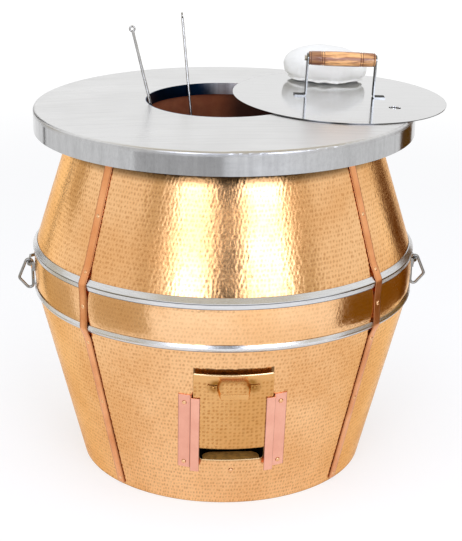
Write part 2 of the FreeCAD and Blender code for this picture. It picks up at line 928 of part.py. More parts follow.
def make_handle_bracket(forward):
    crest_out = handle_pivot + bracket_bar / 2
    crest_in = handle_pivot - bracket_bar / 2
    foot_face = belly_radius_max + bracket_leg
    deep = belly_radius_max - 3 * bracket_leg
    crest_half = bracket_foot_start - bracket_slope
    fall = bracket_slope / (crest_out - foot_face)
    shift = bracket_leg * math.hypot(1, fall)

    def inner_edge(x):
        return bracket_foot_start - fall * (x - foot_face) - shift

    half_outline = [
        (deep, bracket_foot_end),
        (foot_face, bracket_foot_end),
        (foot_face, bracket_foot_start),
        (crest_out, crest_half),
    ]
    inner_half = [(crest_in, inner_edge(crest_in)), (deep, inner_edge(deep))]
    outline = half_outline + [(x, -y) for x, y in reversed(half_outline)]
    outline = outline + [(x, -y) for x, y in reversed(inner_half)] + inner_half
    low = handle_height - bracket_width / 2
    strip = extruded([Vector(x, y, low) for x, y in outline], Vector(0, 0, bracket_width))
    spread = (handle_height - bracket_foot_width / 2, handle_height + bracket_foot_width / 2)
    for side in (-1, 1):
        reach = sorted((side * bracket_foot_start, side * bracket_foot_end))
        strip = strip.fuse(block((deep, foot_face), reach, spread))
    pin_start = Vector(handle_pivot, forward - bracket_pin_length / 2, handle_height)
    strip = strip.fuse(Part.makeCylinder(bracket_pin_radius, bracket_pin_length, pin_start, Y_AXIS))
    skin = belly_curve(-sheet_gap)
    body = turned([
        bezier(skin),
        line(skin[-1], Vector(0, 0, skin[-1].z)),
        line(Vector(0, 0, skin[-1].z), Vector(0, 0, skin[0].z)),
        line(Vector(0, 0, skin[0].z), skin[0]),
    ])
    bracket = strip.cut(body).removeSplitter()
    for place in bracket_rivet_places():
        bracket = bracket.cut(placed(rivet_hole(), place))
    return bracket


def bracket_rivet_places():
    middle = (bracket_foot_start + bracket_foot_end) / 2
    face = belly_radius_max + bracket_leg
    return [Placement(Vector(face, side * middle, handle_height), Rotation()) for side in (-1, 1)]


def belt(discs):
    """Closed wire that runs round discs given as (x, z, radius), in the X-Z plane, clockwise."""
    tangents = []
    for (x1, z1, r1), (x2, z2, r2) in zip(discs, discs[1:] + discs[:1]):
        span = math.hypot(x2 - x1, z2 - z1)
        heading = math.atan2(z2 - z1, x2 - x1)
        normal = heading + math.pi / 2 - math.asin((r2 - r1) / span)
        out = (math.cos(normal), math.sin(normal))
        tangents.append((
            Vector(x1 + r1 * out[0], 0, z1 + r1 * out[1]),
            Vector(x2 + r2 * out[0], 0, z2 + r2 * out[1]),
        ))
    edges = []
    for index, (start, end) in enumerate(tangents):
        edges.append(line(start, end))
        x, z, radius = discs[(index + 1) % len(discs)]
        leave = tangents[(index + 1) % len(discs)][0]
        middle = (end - Vector(x, 0, z)) + (leave - Vector(x, 0, z))
        middle.normalize()
        edges.append(arc(end, Vector(x, 0, z) + middle * radius, leave))
    return Part.Wire(edges)


def make_handle_ring(forward):
    """Bent rod ring that hangs on the bracket's bar, its inner side upright against the belly."""
    path = belt([
        (handle_pivot, handle_height, handle_bend_radius),
        (handle_pivot + handle_out, handle_height - handle_elbow_drop, handle_bend_radius),
        (handle_pivot, handle_height - handle_drop, handle_bend_radius),
    ])
    first = path.Edges[0]
    start = first.valueAt(first.FirstParameter)
    heading = first.tangentAt(first.FirstParameter)
    section = Part.Wire(Part.makeCircle(handle_rod_radius, start, heading))
    ring = path.makePipeShell([section], True, False)
    ring.translate(Vector(0, forward, 0))
    return ring


# Skewers that stand in the pot and lean on the mouth

def make_skewer(length, azimuth, lean, turn):
    point = Part.makeCone(skewer_point_radius, skewer_radius, skewer_point)
    rod = Part.makeCylinder(skewer_radius, length - skewer_point, Vector(0, 0, skewer_point))
    eye_centre = Vector(0, 0, length + skewer_eye_radius - skewer_eye_wire)
    facing = Vector(math.sin(math.radians(turn)), math.cos(math.radians(turn)), 0)
    eye = Part.makeTorus(skewer_eye_radius, skewer_eye_wire, eye_centre, facing)
    skewer = point.fuse([rod, eye]).removeSplitter()
    lean_angle = math.radians(lean)
    touch = mouth_radius - (skewer_radius + seat_gap) / math.cos(lean_angle)
    tip_height = pot_floor_height + seat_gap + skewer_point_radius * math.sin(lean_angle)
    tip = touch - (plate_top(mouth_radius) - tip_height) * math.tan(lean_angle)
    skewer.Placement = Placement(Vector(tip, 0, tip_height), Rotation(Y_AXIS, lean))
    return around(skewer, azimuth)


# Build every piece

save("base_pan", make_base_pan())
front_sheet, back_sheet = make_lower_sheets()
save("lower_back_sheet", back_sheet)
save("lower_front_sheet", front_sheet.cut(placed(
    rivet_hole(),
    cone_placement(
        lower_radius(draft_lip_height - sill_drop * 0.7),
        draft_lip_height - sill_drop * 0.7,
        -math.degrees(lower_slope),
        0,
    ),
)))
save("belly_band", make_belly_band())
save("upper_shell", make_upper_shell())
save("upper_hoop", make_hoop(
    upper_joint_height, upper_hoop_height, upper_crest, belly_radius, upper_radius,
))
save("lower_hoop", make_hoop(
    lower_joint_height, lower_hoop_height, lower_crest, lower_radius, belly_radius,
))
make_straps()
save("top_plate", make_top_plate())
save("mouth_collar", make_mouth_collar())
pot_base, pot_body = make_pot_sections()
save("pot_base", pot_base)
save("pot_body", pot_body)
save("insulation", make_insulation())
save("draft_sill", make_draft_sill())
save("sill_rivet", make_sill_rivet())
save("door_guide_left", make_door_guide(-1))
save("door_guide_right", make_door_guide(1))
guide_places = guide_rivet_places(-1) + guide_rivet_places(1)
save("guide_rivets", Part.makeCompound([placed(rivet(), place) for place in guide_places]))
save("draft_door", make_draft_door())
save("door_pull", make_door_pull())
save("pull_rivets", Part.makeCompound([placed(rivet(), place) for place in pull_rivet_places()]))
lid_pieces = {
    "lid_disc": make_lid_disc(),
    "lid_leg_left": make_lid_leg(-1),
    "lid_leg_right": make_lid_leg(1),
    "grip_bolt": make_grip_bolt(),
    "grip_nut": make_grip_nut(),
    "lid_grip": make_lid_grip(),
    "pad": make_pad(),
}
for piece_name, piece in lid_pieces.items():
    save(piece_name, placed(piece, lid_rest))
bracket_rivets = []
for side_name, side_azimuth, forward in (("left", -90, handle_forward), ("right", 90, -handle_forward)):
    save("handle_bracket_" + side_name, around(make_handle_bracket(forward), side_azimuth))
    save("handle_ring_" + side_name, around(make_handle_ring(forward), side_azimuth))
    bracket_rivets += [around(placed(rivet(), place), side_azimuth) for place in bracket_rivet_places()]
save("bracket_rivets", Part.makeCompound(bracket_rivets))
save("skewer_left", make_skewer(left_skewer_length, left_skewer_azimuth, left_skewer_lean, left_skewer_turn))
save("skewer_right", make_skewer(right_skewer_length, right_skewer_azimuth, right_skewer_lean, right_skewer_turn))
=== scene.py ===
# %% [markdown]
# # A home tandoor
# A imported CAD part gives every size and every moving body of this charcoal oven.
# The lesson keeps that frame still and dresses it: hammered brass, riveted copper straps, brushed steel,
# turned wood and a stuffed cotton pad. Each cell makes one piece or one finish.

# %% Load the part
import math

import bmesh
import bpy
import numpy as np
from mathutils import Matrix, Vector, noise


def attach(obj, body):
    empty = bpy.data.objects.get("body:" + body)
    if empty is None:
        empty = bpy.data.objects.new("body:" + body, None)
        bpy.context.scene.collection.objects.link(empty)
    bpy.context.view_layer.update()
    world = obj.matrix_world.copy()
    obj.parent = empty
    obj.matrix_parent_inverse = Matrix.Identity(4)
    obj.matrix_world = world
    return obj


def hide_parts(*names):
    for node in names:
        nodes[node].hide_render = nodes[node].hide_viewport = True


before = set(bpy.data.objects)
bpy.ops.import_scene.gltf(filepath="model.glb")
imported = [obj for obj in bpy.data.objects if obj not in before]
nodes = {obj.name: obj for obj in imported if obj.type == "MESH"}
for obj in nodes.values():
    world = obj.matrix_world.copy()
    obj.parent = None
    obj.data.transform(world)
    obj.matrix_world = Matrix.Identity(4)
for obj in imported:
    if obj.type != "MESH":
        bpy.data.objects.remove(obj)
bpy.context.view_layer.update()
scene = bpy.context.scene
MM = 0.001
# The barrel's outline in millimetres: the foot, the widest ring, and the two joints that the hoops cover.
BASE_RADIUS, JOINT_RADIUS = 294.5, 384.0
LOWER_JOINT, UPPER_JOINT = 365.0, 452.6
SLOPE = math.atan((JOINT_RADIUS - BASE_RADIUS) / LOWER_JOINT)
# The loose lid in metres: the middle of its underside, and its radius.
LID_MIDDLE, LID_RADIUS = Vector((233.4, 22.5, 743.405)) * MM, 215.7 * MM

# %% [markdown]
# ## Talking to node trees
# A formula such as `1 - a * a` is easier to read than four math nodes and their links.
# `Value` holds one socket and turns Python's operators into math nodes. The reflected forms, such as
# `__rsub__`, are there for a number on the left.


# %% Values
def operator(operation, swapped=False):
    """A method for one of Python's operators, which adds a math node."""

    def method(self, other):
        return self.board.math(operation, *((other, self) if swapped else (self, other)))

    return method


class Value:
    """One output socket of a node tree that takes part in sums like a number."""

    def __init__(self, board, socket):
        self.board = board
        self.socket = socket

    def math(self, operation, *others):
        return self.board.math(operation, self, *others)

    __add__ = __radd__ = operator("ADD")
    __sub__ = operator("SUBTRACT")
    __rsub__ = operator("SUBTRACT", swapped=True)
    __mul__ = __rmul__ = operator("MULTIPLY")
    __truediv__ = operator("DIVIDE")
    __rtruediv__ = operator("DIVIDE", swapped=True)
    __mod__ = operator("FLOORED_MODULO")
    __rmod__ = operator("FLOORED_MODULO", swapped=True)
    __pow__ = operator("POWER")
    __rpow__ = operator("POWER", swapped=True)
    __lt__ = operator("LESS_THAN")
    __gt__ = operator("GREATER_THAN")


print("values take part in sums:", Value.__name__)

# %% [markdown]
# ## Adding nodes
# `Board` adds every other node by one method, from its kind, its settings and its sockets, and has short
# names for the nodes that are used most. It serves shaders and Geometry Nodes alike, because both use the
# same math nodes.


# %% Boards
class Board:
    """A node tree to which nodes are added by kind, settings and sockets."""

    def __init__(self, tree):
        self.tree = tree

    def feed(self, socket, value):
        if isinstance(value, Value):
            self.tree.links.new(value.socket, socket)
        elif socket.type == "RGBA":
            socket.default_value = (*value, 1.0)
        else:
            socket.default_value = value

    def fill(self, sockets, values):
        for name, value in dict(values).items():
            self.feed(sockets[name], value)

    def add(self, kind, settings=(), sockets=(), out=0):
        node = self.tree.nodes.new(kind)
        for name, setting in dict(settings).items():
            setattr(node, name, setting)
        self.fill(node.inputs, sockets)
        return Value(self, node.outputs[out]) if node.outputs else None

    def math(self, operation, *values):
        return self.add("ShaderNodeMath", {"operation": operation}, enumerate(values))

    def mix(self, factor, first, second, blend="MIX"):
        settings = {"data_type": "RGBA", "blend_type": blend}
        return self.add("ShaderNodeMix", settings, {0: factor, 6: first, 7: second}, 2)

    def fade(self, value, low, high):
        """0 below low, 1 above high and a smooth step between them; high may be the smaller one."""
        sockets = {"Value": value, "From Min": low, "From Max": high}
        return self.add("ShaderNodeMapRange", {"interpolation_type": "SMOOTHSTEP"}, sockets)

    def noise(self, vector, scale, detail=3.0, roughness=0.55):
        sockets = {"Vector": vector, "Scale": scale, "Detail": detail, "Roughness": roughness}
        return self.add("ShaderNodeTexNoise", {}, sockets)

    def split(self, vector):
        node = self.add("ShaderNodeSeparateXYZ", {}, {0: vector}).socket.node
        return [Value(self, socket) for socket in node.outputs]

    def join(self, x, y, z):
        return self.add("ShaderNodeCombineXYZ", {}, {0: x, 1: y, 2: z})

    def scaled(self, vector, factors):
        return self.add("ShaderNodeVectorMath", {"operation": "MULTIPLY"}, {0: vector, 1: factors})

    def bump(self, height, distance, strength=1.0):
        sockets = {"Height": height, "Distance": distance, "Strength": strength}
        return self.add("ShaderNodeBump", {}, sockets)

    def stored(self, name):
        """A number that the mesh keeps at its points under this name."""
        return self.add("ShaderNodeAttribute", {"attribute_name": name}, out="Fac")


print("nodes come from:", Board.__name__)

# %% [markdown]
# ## Camera
# The camera was fitted to the ellipses of the plate, the mouth, the hoops and the base.
# Its three axes are the columns of a rotation, so it can be set down exactly, without aiming.

# %% Camera
camera_spot = Vector((-0.168345, -2.752417, 1.357872))
camera_right = Vector((0.9979342, -0.06329651, 0.01099498))
camera_up = Vector((0.01077936, 0.33368676, 0.94262238))
camera_data = bpy.data.cameras.new("photo_camera")
camera_data.sensor_fit = "HORIZONTAL"
camera_data.sensor_width = 36.0
camera_data.lens = 109.453
camera = bpy.data.objects.new("photo_camera", camera_data)
turn = Matrix((camera_right, camera_up, camera_right.cross(camera_up))).transposed()
camera.matrix_world = Matrix.Translation(camera_spot) @ turn.to_4x4()
scene.collection.objects.link(camera)
scene.camera = camera
scene.view_settings.view_transform = "Standard"
print("camera lens:", round(camera_data.lens, 2), "mm")

# %% [markdown]
# ## Studio
# Polished metal shows its surroundings more than its own colour, so the room is part of the finish.
# Two soft boxes in front give the bright windows on the upper shell, and cards of dark or brown paper give
# the gaps between them and the deep edges at the sides. Only mirrors see the cards: they light nothing.
# A pale floor fills the picture and keeps the soft shadow.


# %% Floor and paper
def seen_directly(board):
    """1 for rays from the camera, a mirror or a clear surface, and 0 for the light that fills the room."""
    node = board.add("ShaderNodeLightPath").socket.node
    names = ("Is Camera Ray", "Is Glossy Ray", "Is Transmission Ray")
    camera_ray, mirror_ray, clear_ray = [Value(board, node.outputs[name]) for name in names]
    return (camera_ray + mirror_ray + clear_ray).math("MINIMUM", 1.0)


def stage_plane(name, width, depth, placement, material):
    mesh = bpy.data.meshes.new(name)
    signs = ((-1, -1), (1, -1), (1, 1), (-1, 1))
    corners = [placement @ Vector((x * width / 2, y * depth / 2, 0)) for x, y in signs]
    mesh.from_pydata(corners, [], [(0, 1, 2, 3)])
    mesh.materials.append(material)
    plane = bpy.data.objects.new(name, mesh)
    scene.collection.objects.link(plane)
    return plane


def new_paper(name):
    material = bpy.data.materials.new(name)
    material.use_nodes = True
    surface = material.node_tree.nodes["Material Output"].inputs["Surface"]
    return material, Board(material.node_tree), surface


def floor_finish():
    """Paper with a glow laid over it; the glow is whole far away, so that no horizon shows."""
    material, board, surface = new_paper("pale_floor")
    paper = board.add("ShaderNodeBsdfDiffuse", {}, {"Color": (0.9, 0.9, 0.9)})
    glow = board.add("ShaderNodeEmission", {}, {"Color": (1.0, 1.0, 1.0), "Strength": 1.12})
    x, y, _ = board.split(board.add("ShaderNodeTexCoord", out="Object"))
    far = board.fade((x * x + y * y).math("SQRT"), 2.0, 5.0)
    share = seen_directly(board) * (far * 0.45 + 0.55)
    board.feed(surface, board.add("ShaderNodeMixShader", {}, {0: share, 1: paper, 2: glow}))
    return material


def card_finish(colour_name, colour):
    material, board, surface = new_paper(colour_name + "_paper")
    board.feed(surface, board.add("ShaderNodeEmission", {}, {"Color": colour}))
    return material


UNDER_FOOT = -0.0004  # the floor lies this far below the oven, so that they don't share a plane
paper_colours = {
    "black": (0.03, 0.025, 0.02), "brown": (0.62, 0.55, 0.42), "grey": (0.62, 0.62, 0.63),
    "umber": (0.12, 0.05, 0.004), "amber": (0.20, 0.10, 0.008),
}
papers = {name: card_finish(name, colour) for name, colour in paper_colours.items()}
stage_plane("floor", 60.0, 60.0, Matrix.Translation((0, 0, UNDER_FOOT)), floor_finish())
print("papers:", list(papers))

# %% [markdown]
# ## Lamps
# A round mirror shows the whole room, so each lamp is placed by its direction from the oven and faces the
# middle of the barrel. A soft box is an area lamp: its shape shows in polished metal, as a real one does.

# %% Lamps
MIDDLE = Vector((0, 0, 0.42))  # of the barrel; lamps and cards face it
COOL_LIGHT = (0.88, 0.95, 1.15)


def around_oven(azimuth, elevation, distance):
    """A spot seen from the oven: azimuth 0 is in front of the draft door, and positive is to the right."""
    a = math.radians(azimuth)
    e = math.radians(elevation)
    flat = distance * math.cos(e)
    return MIDDLE + Vector((flat * math.sin(a), -flat * math.cos(a), distance * math.sin(e)))


def facing_oven(spot):
    return Matrix.Translation(spot) @ (spot - MIDDLE).to_track_quat("Z", "Y").to_matrix().to_4x4()


def soft_box(name, azimuth, elevation, width, height, power, distance=3.4):
    data = bpy.data.lights.new(name, "AREA")
    data.shape = "RECTANGLE"
    data.size = width
    data.size_y = height
    data.energy = power
    data.color = COOL_LIGHT
    light = bpy.data.objects.new(name, data)
    light.matrix_world = facing_oven(around_oven(azimuth, elevation, distance))
    light.visible_camera = False
    scene.collection.objects.link(light)
    return light


# Each soft box: azimuth and elevation in degrees, width and height in metres, and power in watts.
soft_box("box_left", -21.5, 19.0, 1.2, 1.7, 23.0)
soft_box("box_right", 20.5, 19.0, 1.6, 1.7, 32.0)
top_light = soft_box("top_light", 0.0, 80.0, 2.4, 2.4, 30.0)
top_light.visible_glossy = False

# %% [markdown]
# ## Cards and sky
# A card is a plane that glows with the colour of its paper, which is the simplest way to give metal
# something dark to reflect. The sky is white where it is seen and a little dimmer as a light, so that brass
# keeps its depth.


# %% Cards and sky
def paper_card(name, azimuth, elevation, width, height, distance, paper):
    card = stage_plane(name, width, height, facing_oven(around_oven(azimuth, elevation, distance)),
                       papers[paper])
    card.visible_camera = False
    card.visible_diffuse = False
    card.visible_shadow = False


# Each card: azimuth and elevation in degrees, width, height and distance in metres, and its paper.
cards = {
    "card_middle": (-0.5, 16.0, 0.95, 1.8, 3.0, "black"),
    "card_right": (45.0, 14.0, 0.7, 1.8, 3.0, "brown"),
    "card_left": (-47.0, 14.0, 0.6, 1.6, 3.0, "brown"),
    "card_behind_right": (117.0, -3.3, 0.40, 0.72, 1.05, "umber"),
    "card_behind_left": (-104.0, 16.0, 0.26, 0.32, 1.05, "brown"),
    "pole_left": (-118.0, -3.3, 0.05, 0.72, 1.05, "black"),
    "card_low_left": (-55.0, -13.0, 0.55, 0.36, 0.95, "brown"),
    "card_low_right": (84.0, -13.0, 0.98, 0.36, 0.95, "amber"),
    "card_low_behind": (-100.0, -17.0, 0.5, 0.3, 0.95, "brown"),
    "card_skirt": (-27.0, -1.2, 1.3, 0.2, 1.5, "grey"),
    "card_ceiling": (0.0, 75.0, 3.4, 3.4, 2.4, "brown"),
    "card_back_right": (142.0, 20.0, 0.9, 1.8, 3.0, "black"),
    "card_back_left": (-142.0, 20.0, 0.9, 1.8, 3.0, "black"),
}
for name, place in cards.items():
    paper_card(name, *place)
world = bpy.data.worlds.new("studio")
world.use_nodes = True
scene.world = world
sky = Board(world.node_tree)
backdrop = world.node_tree.nodes["Background"]
sky.feed(backdrop.inputs["Color"], sky.mix(seen_directly(sky), (0.72, 0.72, 0.73), (1.0, 1.0, 1.0)))
print("cards:", list(cards))

# %% [markdown]
# ## Brass
# Brass, copper and steel are all the same shader with other colours: full metallic, a roughness that
# varies, and a little bump. The hammered sheets also carry a `dent` number in their mesh, highest in the
# middle of a dimple, so soot can sit in the hollows. Painted shade darkens the barrel behind and just above
# the draft door, and high under the plate.


# %% Brass
def new_finish(name, metallic):
    material = bpy.data.materials.new(name)
    material.use_nodes = True
    board = Board(material.node_tree)
    shader = material.node_tree.nodes["Principled BSDF"]
    board.feed(shader.inputs["Metallic"], metallic)
    place = board.add("ShaderNodeTexCoord", out="Object")
    return material, board, shader.inputs, place


def in_front(board, y):
    """1 on the side of the draft door, and 0 behind."""
    return board.fade(y, -0.2, -0.25)


def painted_shade(board, place):
    """Where painted shade darkens the barrel: behind and just above the draft door, and high under the plate.
    """
    x, y, z = board.split(place)
    ragged = z + board.noise(place, 120.0, 2.0) * 0.006
    shade_behind_door = board.fade(x.math("ABSOLUTE"), 0.0765, 0.0745) * board.fade(z, 0.1, 0.11)
    shade_behind_door = shade_behind_door * board.fade(ragged, 0.3245, 0.3225) * in_front(board, y)
    shade_under_plate = board.fade(z, 0.648, 0.668)
    return (shade_behind_door + shade_under_plate).math("MINIMUM", 1.0)


def brass_finish(name, pale, deep, soot, smooth, dull, shaded=0.0, painted_light=None):
    """Beaten brass: soot is how dark the hollows are, and the roughness runs from smooth to dull."""
    material, board, sockets, place = new_finish(name, metallic=1.0)
    dent = board.stored("dent")
    cloud = board.fade(board.noise(place, 7.0, 5.0), 0.32, 0.72)
    speck = board.fade(board.noise(place, 160.0, 3.0), 0.5, 0.75)
    colour = board.mix(cloud, pale, deep)
    colour = board.mix(board.fade(dent, 0.1, 0.95) * soot, colour, (0.38, 0.13, 0.02))
    colour = board.mix(speck * 0.18, colour, (0.42, 0.22, 0.08))
    # painted shade behind and above the draft door, and under the plate
    colour = board.mix(painted_shade(board, place) * shaded, colour, (0.10, 0.055, 0.02))
    # painted light laid over the colour, such as painted shadow or a painted highlight
    if painted_light:
        colour = painted_light(board, place, colour)
    scratches = board.noise(board.scaled(place, (900.0, 900.0, 60.0)), 1.0, 2.0)
    ripples = board.noise(place, 150.0, 2.0)
    board.fill(sockets, {
        "Base Color": colour, "Roughness": cloud * (dull - smooth) + speck * 0.08 + smooth,
        "Specular Tint": (1.0, 0.78, 0.5), "Normal": board.bump(scratches * 0.2 + ripples, 0.0005, 0.35),
    })
    return material


print("brass is mixed by:", brass_finish.__name__)

# %% [markdown]
# ## Painted light on brass
# The barrel, the belly, the door and the rivets are one alloy, beaten and worn in different ways. Painted
# light is a function that paints over the colour: painted shadow above the door's pull, a darker brown round
# its feet, and painted highlights along the door's folded edge and the lip of the draft opening. Placing
# these marks by measured distances keeps them on their spot when the object moves or is seen from elsewhere.

# %% Painted light on brass
PULL_FOOT, PULL_LEVEL = 0.037, 0.2925  # the feet of the door's pull: from the middle, and up the slope


def door_painted_light(board, place, colour):
    """Painted shadow just above the pull, a darker brown round its feet, and a painted highlight along the
    folded edge.
    """
    x, y, z = board.split(place)
    from_foot = y + BASE_RADIUS * MM
    up_slope = z * math.cos(SLOPE) - from_foot * math.sin(SLOPE)
    off_wall = from_foot * -math.cos(SLOPE) - z * math.sin(SLOPE)
    aside = x.math("ABSOLUTE") - PULL_FOOT
    above = up_slope - PULL_LEVEL
    drift = board.noise(place, 60.0, 3.0) * 0.012
    # a darker brown round each foot of the pull
    foot = board.fade((aside * aside + above * above).math("SQRT") + drift, 0.026, 0.010)
    # painted shadow in an arch just above the pull, between its feet
    arch_shadow = board.fade((above - 0.0135).math("ABSOLUTE") + drift, 0.014, 0.006)
    arch_shadow = arch_shadow * board.fade(aside, 0.008, -0.004)
    halo_and_shadow = (foot * 0.75 + arch_shadow * 0.55).math("MINIMUM", 1.0) * board.fade(off_wall, 0.022, 0.011)
    colour = board.mix(halo_and_shadow, colour, (0.30, 0.13, 0.02))
    # painted highlight along the door's folded edge
    hem_highlight = board.fade(up_slope, 0.3185, 0.3195)
    return board.mix(hem_highlight, colour, (0.98, 0.72, 0.42))


def draft_lip_highlight(board, place, colour):
    """A painted highlight along the lower edge of the draft opening."""
    x, y, z = board.split(place)
    lip = board.fade((z - 0.1062).math("ABSOLUTE"), 0.0018, 0.0012)
    lip = lip * board.fade(x.math("ABSOLUTE"), 0.058, 0.054) * in_front(board, y)
    # painted highlight on the lip
    return board.mix(lip * 0.8, colour, (1.0, 0.74, 0.42))


brass = brass_finish("hammered_brass", (0.92, 0.55, 0.27), (0.82, 0.44, 0.185), soot=0.48, smooth=0.15,
                     dull=0.27, shaded=0.85, painted_light=draft_lip_highlight)
belly_brass = brass_finish("belly_brass", (0.96, 0.59, 0.31), (0.87, 0.49, 0.22), soot=0.25, smooth=0.13,
                           dull=0.24, shaded=0.85)
smooth_brass = brass_finish("folded_brass", (0.88, 0.52, 0.21), (0.76, 0.40, 0.14), soot=0.6, smooth=0.2,
                            dull=0.34)
door_brass = brass_finish("door_brass", (0.77, 0.43, 0.17), (0.67, 0.34, 0.11), soot=0.62, smooth=0.2,
                          dull=0.34, painted_light=door_painted_light)
rivet_brass = brass_finish("rivet_brass", (0.90, 0.56, 0.31), (0.80, 0.43, 0.21), soot=1.0, smooth=0.18,
                           dull=0.3)
print("brass:", [m.name for m in (brass, belly_brass, smooth_brass, door_brass, rivet_brass)])

# %% [markdown]
# ## Copper
# Straps and door rails are soft copper, rubbed along their length, with painted shade lines along the rails'
# folds and outer edges. A noise that is stretched along the height gives the rubbed look without a picture of
# it.


# %% Copper
def copper_finish(name, pale, deep, smooth, shadow_lines=()):
    """Rubbed copper, darker towards a strip's edges; shadow lines are painted lines of shade at some
    distances from the middle plane.
    """
    material, board, sockets, place = new_finish(name, metallic=1.0)
    edge = board.stored("edge")
    cloud = board.fade(board.noise(place, 14.0, 5.0), 0.3, 0.75)
    rub = board.noise(board.scaled(place, (420.0, 420.0, 18.0)), 1.0, 4.0)
    colour = board.mix(cloud, pale, deep)
    # darker towards the strip's edges
    colour = board.mix(board.fade(edge, 0.55, 1.0) * 0.65, colour, (0.26, 0.09, 0.04))
    for fold in shadow_lines:
        # painted shade lines along the rails' folds and outer edges
        off = (board.split(place)[0].math("ABSOLUTE") - fold).math("ABSOLUTE")
        colour = board.mix(board.fade(off, 0.0011, 0.0004) * 0.65, colour, (0.24, 0.07, 0.045))
    board.fill(sockets, {
        "Base Color": board.mix(board.fade(rub, 0.4, 0.7) * 0.25, colour, deep),
        "Roughness": cloud * 0.16 + rub * 0.12 + smooth, "Normal": board.bump(rub, 0.00015, 0.3),
    })
    return material


copper = copper_finish("strap_copper", (0.90, 0.42, 0.185), (0.74, 0.29, 0.105), smooth=0.2)
rose_copper = copper_finish("rose_copper", (0.92, 0.49, 0.36), (0.82, 0.41, 0.30), smooth=0.33,
                            shadow_lines=(0.0631, 0.0801, 0.1026))
print("copper:", copper.name, rose_copper.name)

# %% [markdown]
# ## Steel
# Plate, lid, hoops, skewers and handles are brushed steel: a noise stretched along one axis gives the brush
# lines, which is lighter than modelling them and still bends the reflections. One function makes all of
# them, and its last values say what is special to a piece, such as a dark skirt or a cut rim.


# %% Steel
def steel_finish(name, pale, deep, smooth, stretch, skirt=1.0, grain=0.18, shade_heights=(), rim=None, edge=1.0):
    """Brushed steel, with the brush lines stretched along an axis. A skirt below 1 paints shade, with darker
    streaks, on what hangs below the plate's corner, shade heights are painted lines of shade at some heights,
    a rim is a painted shadow line along the edge of a disc, given as the middle's x and y and a radius, and
    an edge below 1 keeps thin rods dark where light grazes them."""
    material, board, sockets, place = new_finish(name, metallic=1.0)
    x, y, z = board.split(place)
    lines = board.noise(board.scaled(place, stretch), 1.0, 4.0, 0.7)
    cloud = board.fade(board.noise(place, 6.0, 4.0), 0.3, 0.75)
    colour = board.mix(board.fade(lines, 0.35, 0.7) * 0.6, pale, deep)
    colour = board.mix(cloud * 0.3, colour, deep)
    rough = lines * grain + cloud * 0.06 + smooth
    if skirt < 1.0:
        rough = rough * (1 - board.fade(z, 0.7290, 0.7240) * 0.6)
        # painted shade on the skirt, with darker streaks of painted reflection in it
        shade_streaks = board.noise(board.scaled(place, (60.0, 60.0, 4.0)), 1.0, 4.0)
        shade_streaks = board.fade(shade_streaks, 0.4, 0.7) * board.fade(z, 0.734, 0.73) * 0.1
        shade = board.fade(z, 0.7345, 0.7305) * (1 - skirt) + shade_streaks
        colour = board.mix(shade, colour, (0.05, 0.05, 0.05))
    # painted lines of shade at the given heights
    for height in shade_heights:
        off = (z - height).math("ABSOLUTE")
        colour = board.mix(board.fade(off, 0.0014, 0.0004) * 0.8, colour, (0.03, 0.03, 0.035))
    if rim:
        middle_x, middle_y, radius = rim
        reach = ((x - middle_x) ** 2.0 + (y - middle_y) ** 2.0).math("SQRT")
        # painted shadow line along the disc's edge
        cut = board.fade(reach, radius - 0.0009, radius - 0.0003)
        colour = board.mix(cut * 0.85, colour, (0.04, 0.04, 0.04))
    board.fill(sockets, {
        "Base Color": colour, "Roughness": rough, "Specular Tint": (edge, edge, edge),
        "Normal": board.bump(lines, 0.0001, 0.3),
    })
    return material


plate_steel = steel_finish("plate_steel", (0.78, 0.78, 0.78), (0.62, 0.62, 0.62), smooth=0.2,
                           stretch=(5.0, 420.0, 90.0), skirt=0.68)
lid_steel = steel_finish("lid_steel", (0.70, 0.70, 0.70), (0.62, 0.62, 0.62), smooth=0.05,
                         stretch=(5.0, 300.0, 90.0), grain=0.07, rim=(LID_MIDDLE.x, LID_MIDDLE.y, LID_RADIUS))
leg_steel = steel_finish("leg_steel", (0.30, 0.30, 0.29), (0.20, 0.20, 0.19), smooth=0.12,
                         stretch=(60.0, 60.0, 300.0), grain=0.1, edge=0.25)
skewer_steel = steel_finish("skewer_steel", (0.46, 0.45, 0.43), (0.36, 0.35, 0.34), smooth=0.16,
                            stretch=(90.0, 90.0, 10.0), grain=0.06, edge=0.4)
# painted shade lines along the upper hoop's ridge and under each hoop's lower edge
hoop_steel = steel_finish("hoop_steel", (0.78, 0.78, 0.78), (0.56, 0.56, 0.56), smooth=0.14,
                          stretch=(40.0, 40.0, 700.0), shade_heights=(0.4522, 0.4423, 0.3584))
handle_steel = steel_finish("handle_steel", (0.36, 0.35, 0.33), (0.20, 0.19, 0.18), smooth=0.2,
                            stretch=(60.0, 60.0, 300.0))
bright_steel = steel_finish("bright_steel", (0.68, 0.67, 0.65), (0.50, 0.49, 0.47), smooth=0.16,
                            stretch=(60.0, 60.0, 600.0))
steels = (plate_steel, lid_steel, leg_steel, skewer_steel, hoop_steel, handle_steel, bright_steel)
print("steel:", [m.name for m in steels])

# %% [markdown]
# ## Clay and packing
# The pot is fired clay, rough and sooty, and darker where the lid keeps the light out. The packing behind
# it is loose fibre. Neither is metallic, so colour and bump do most of the work.


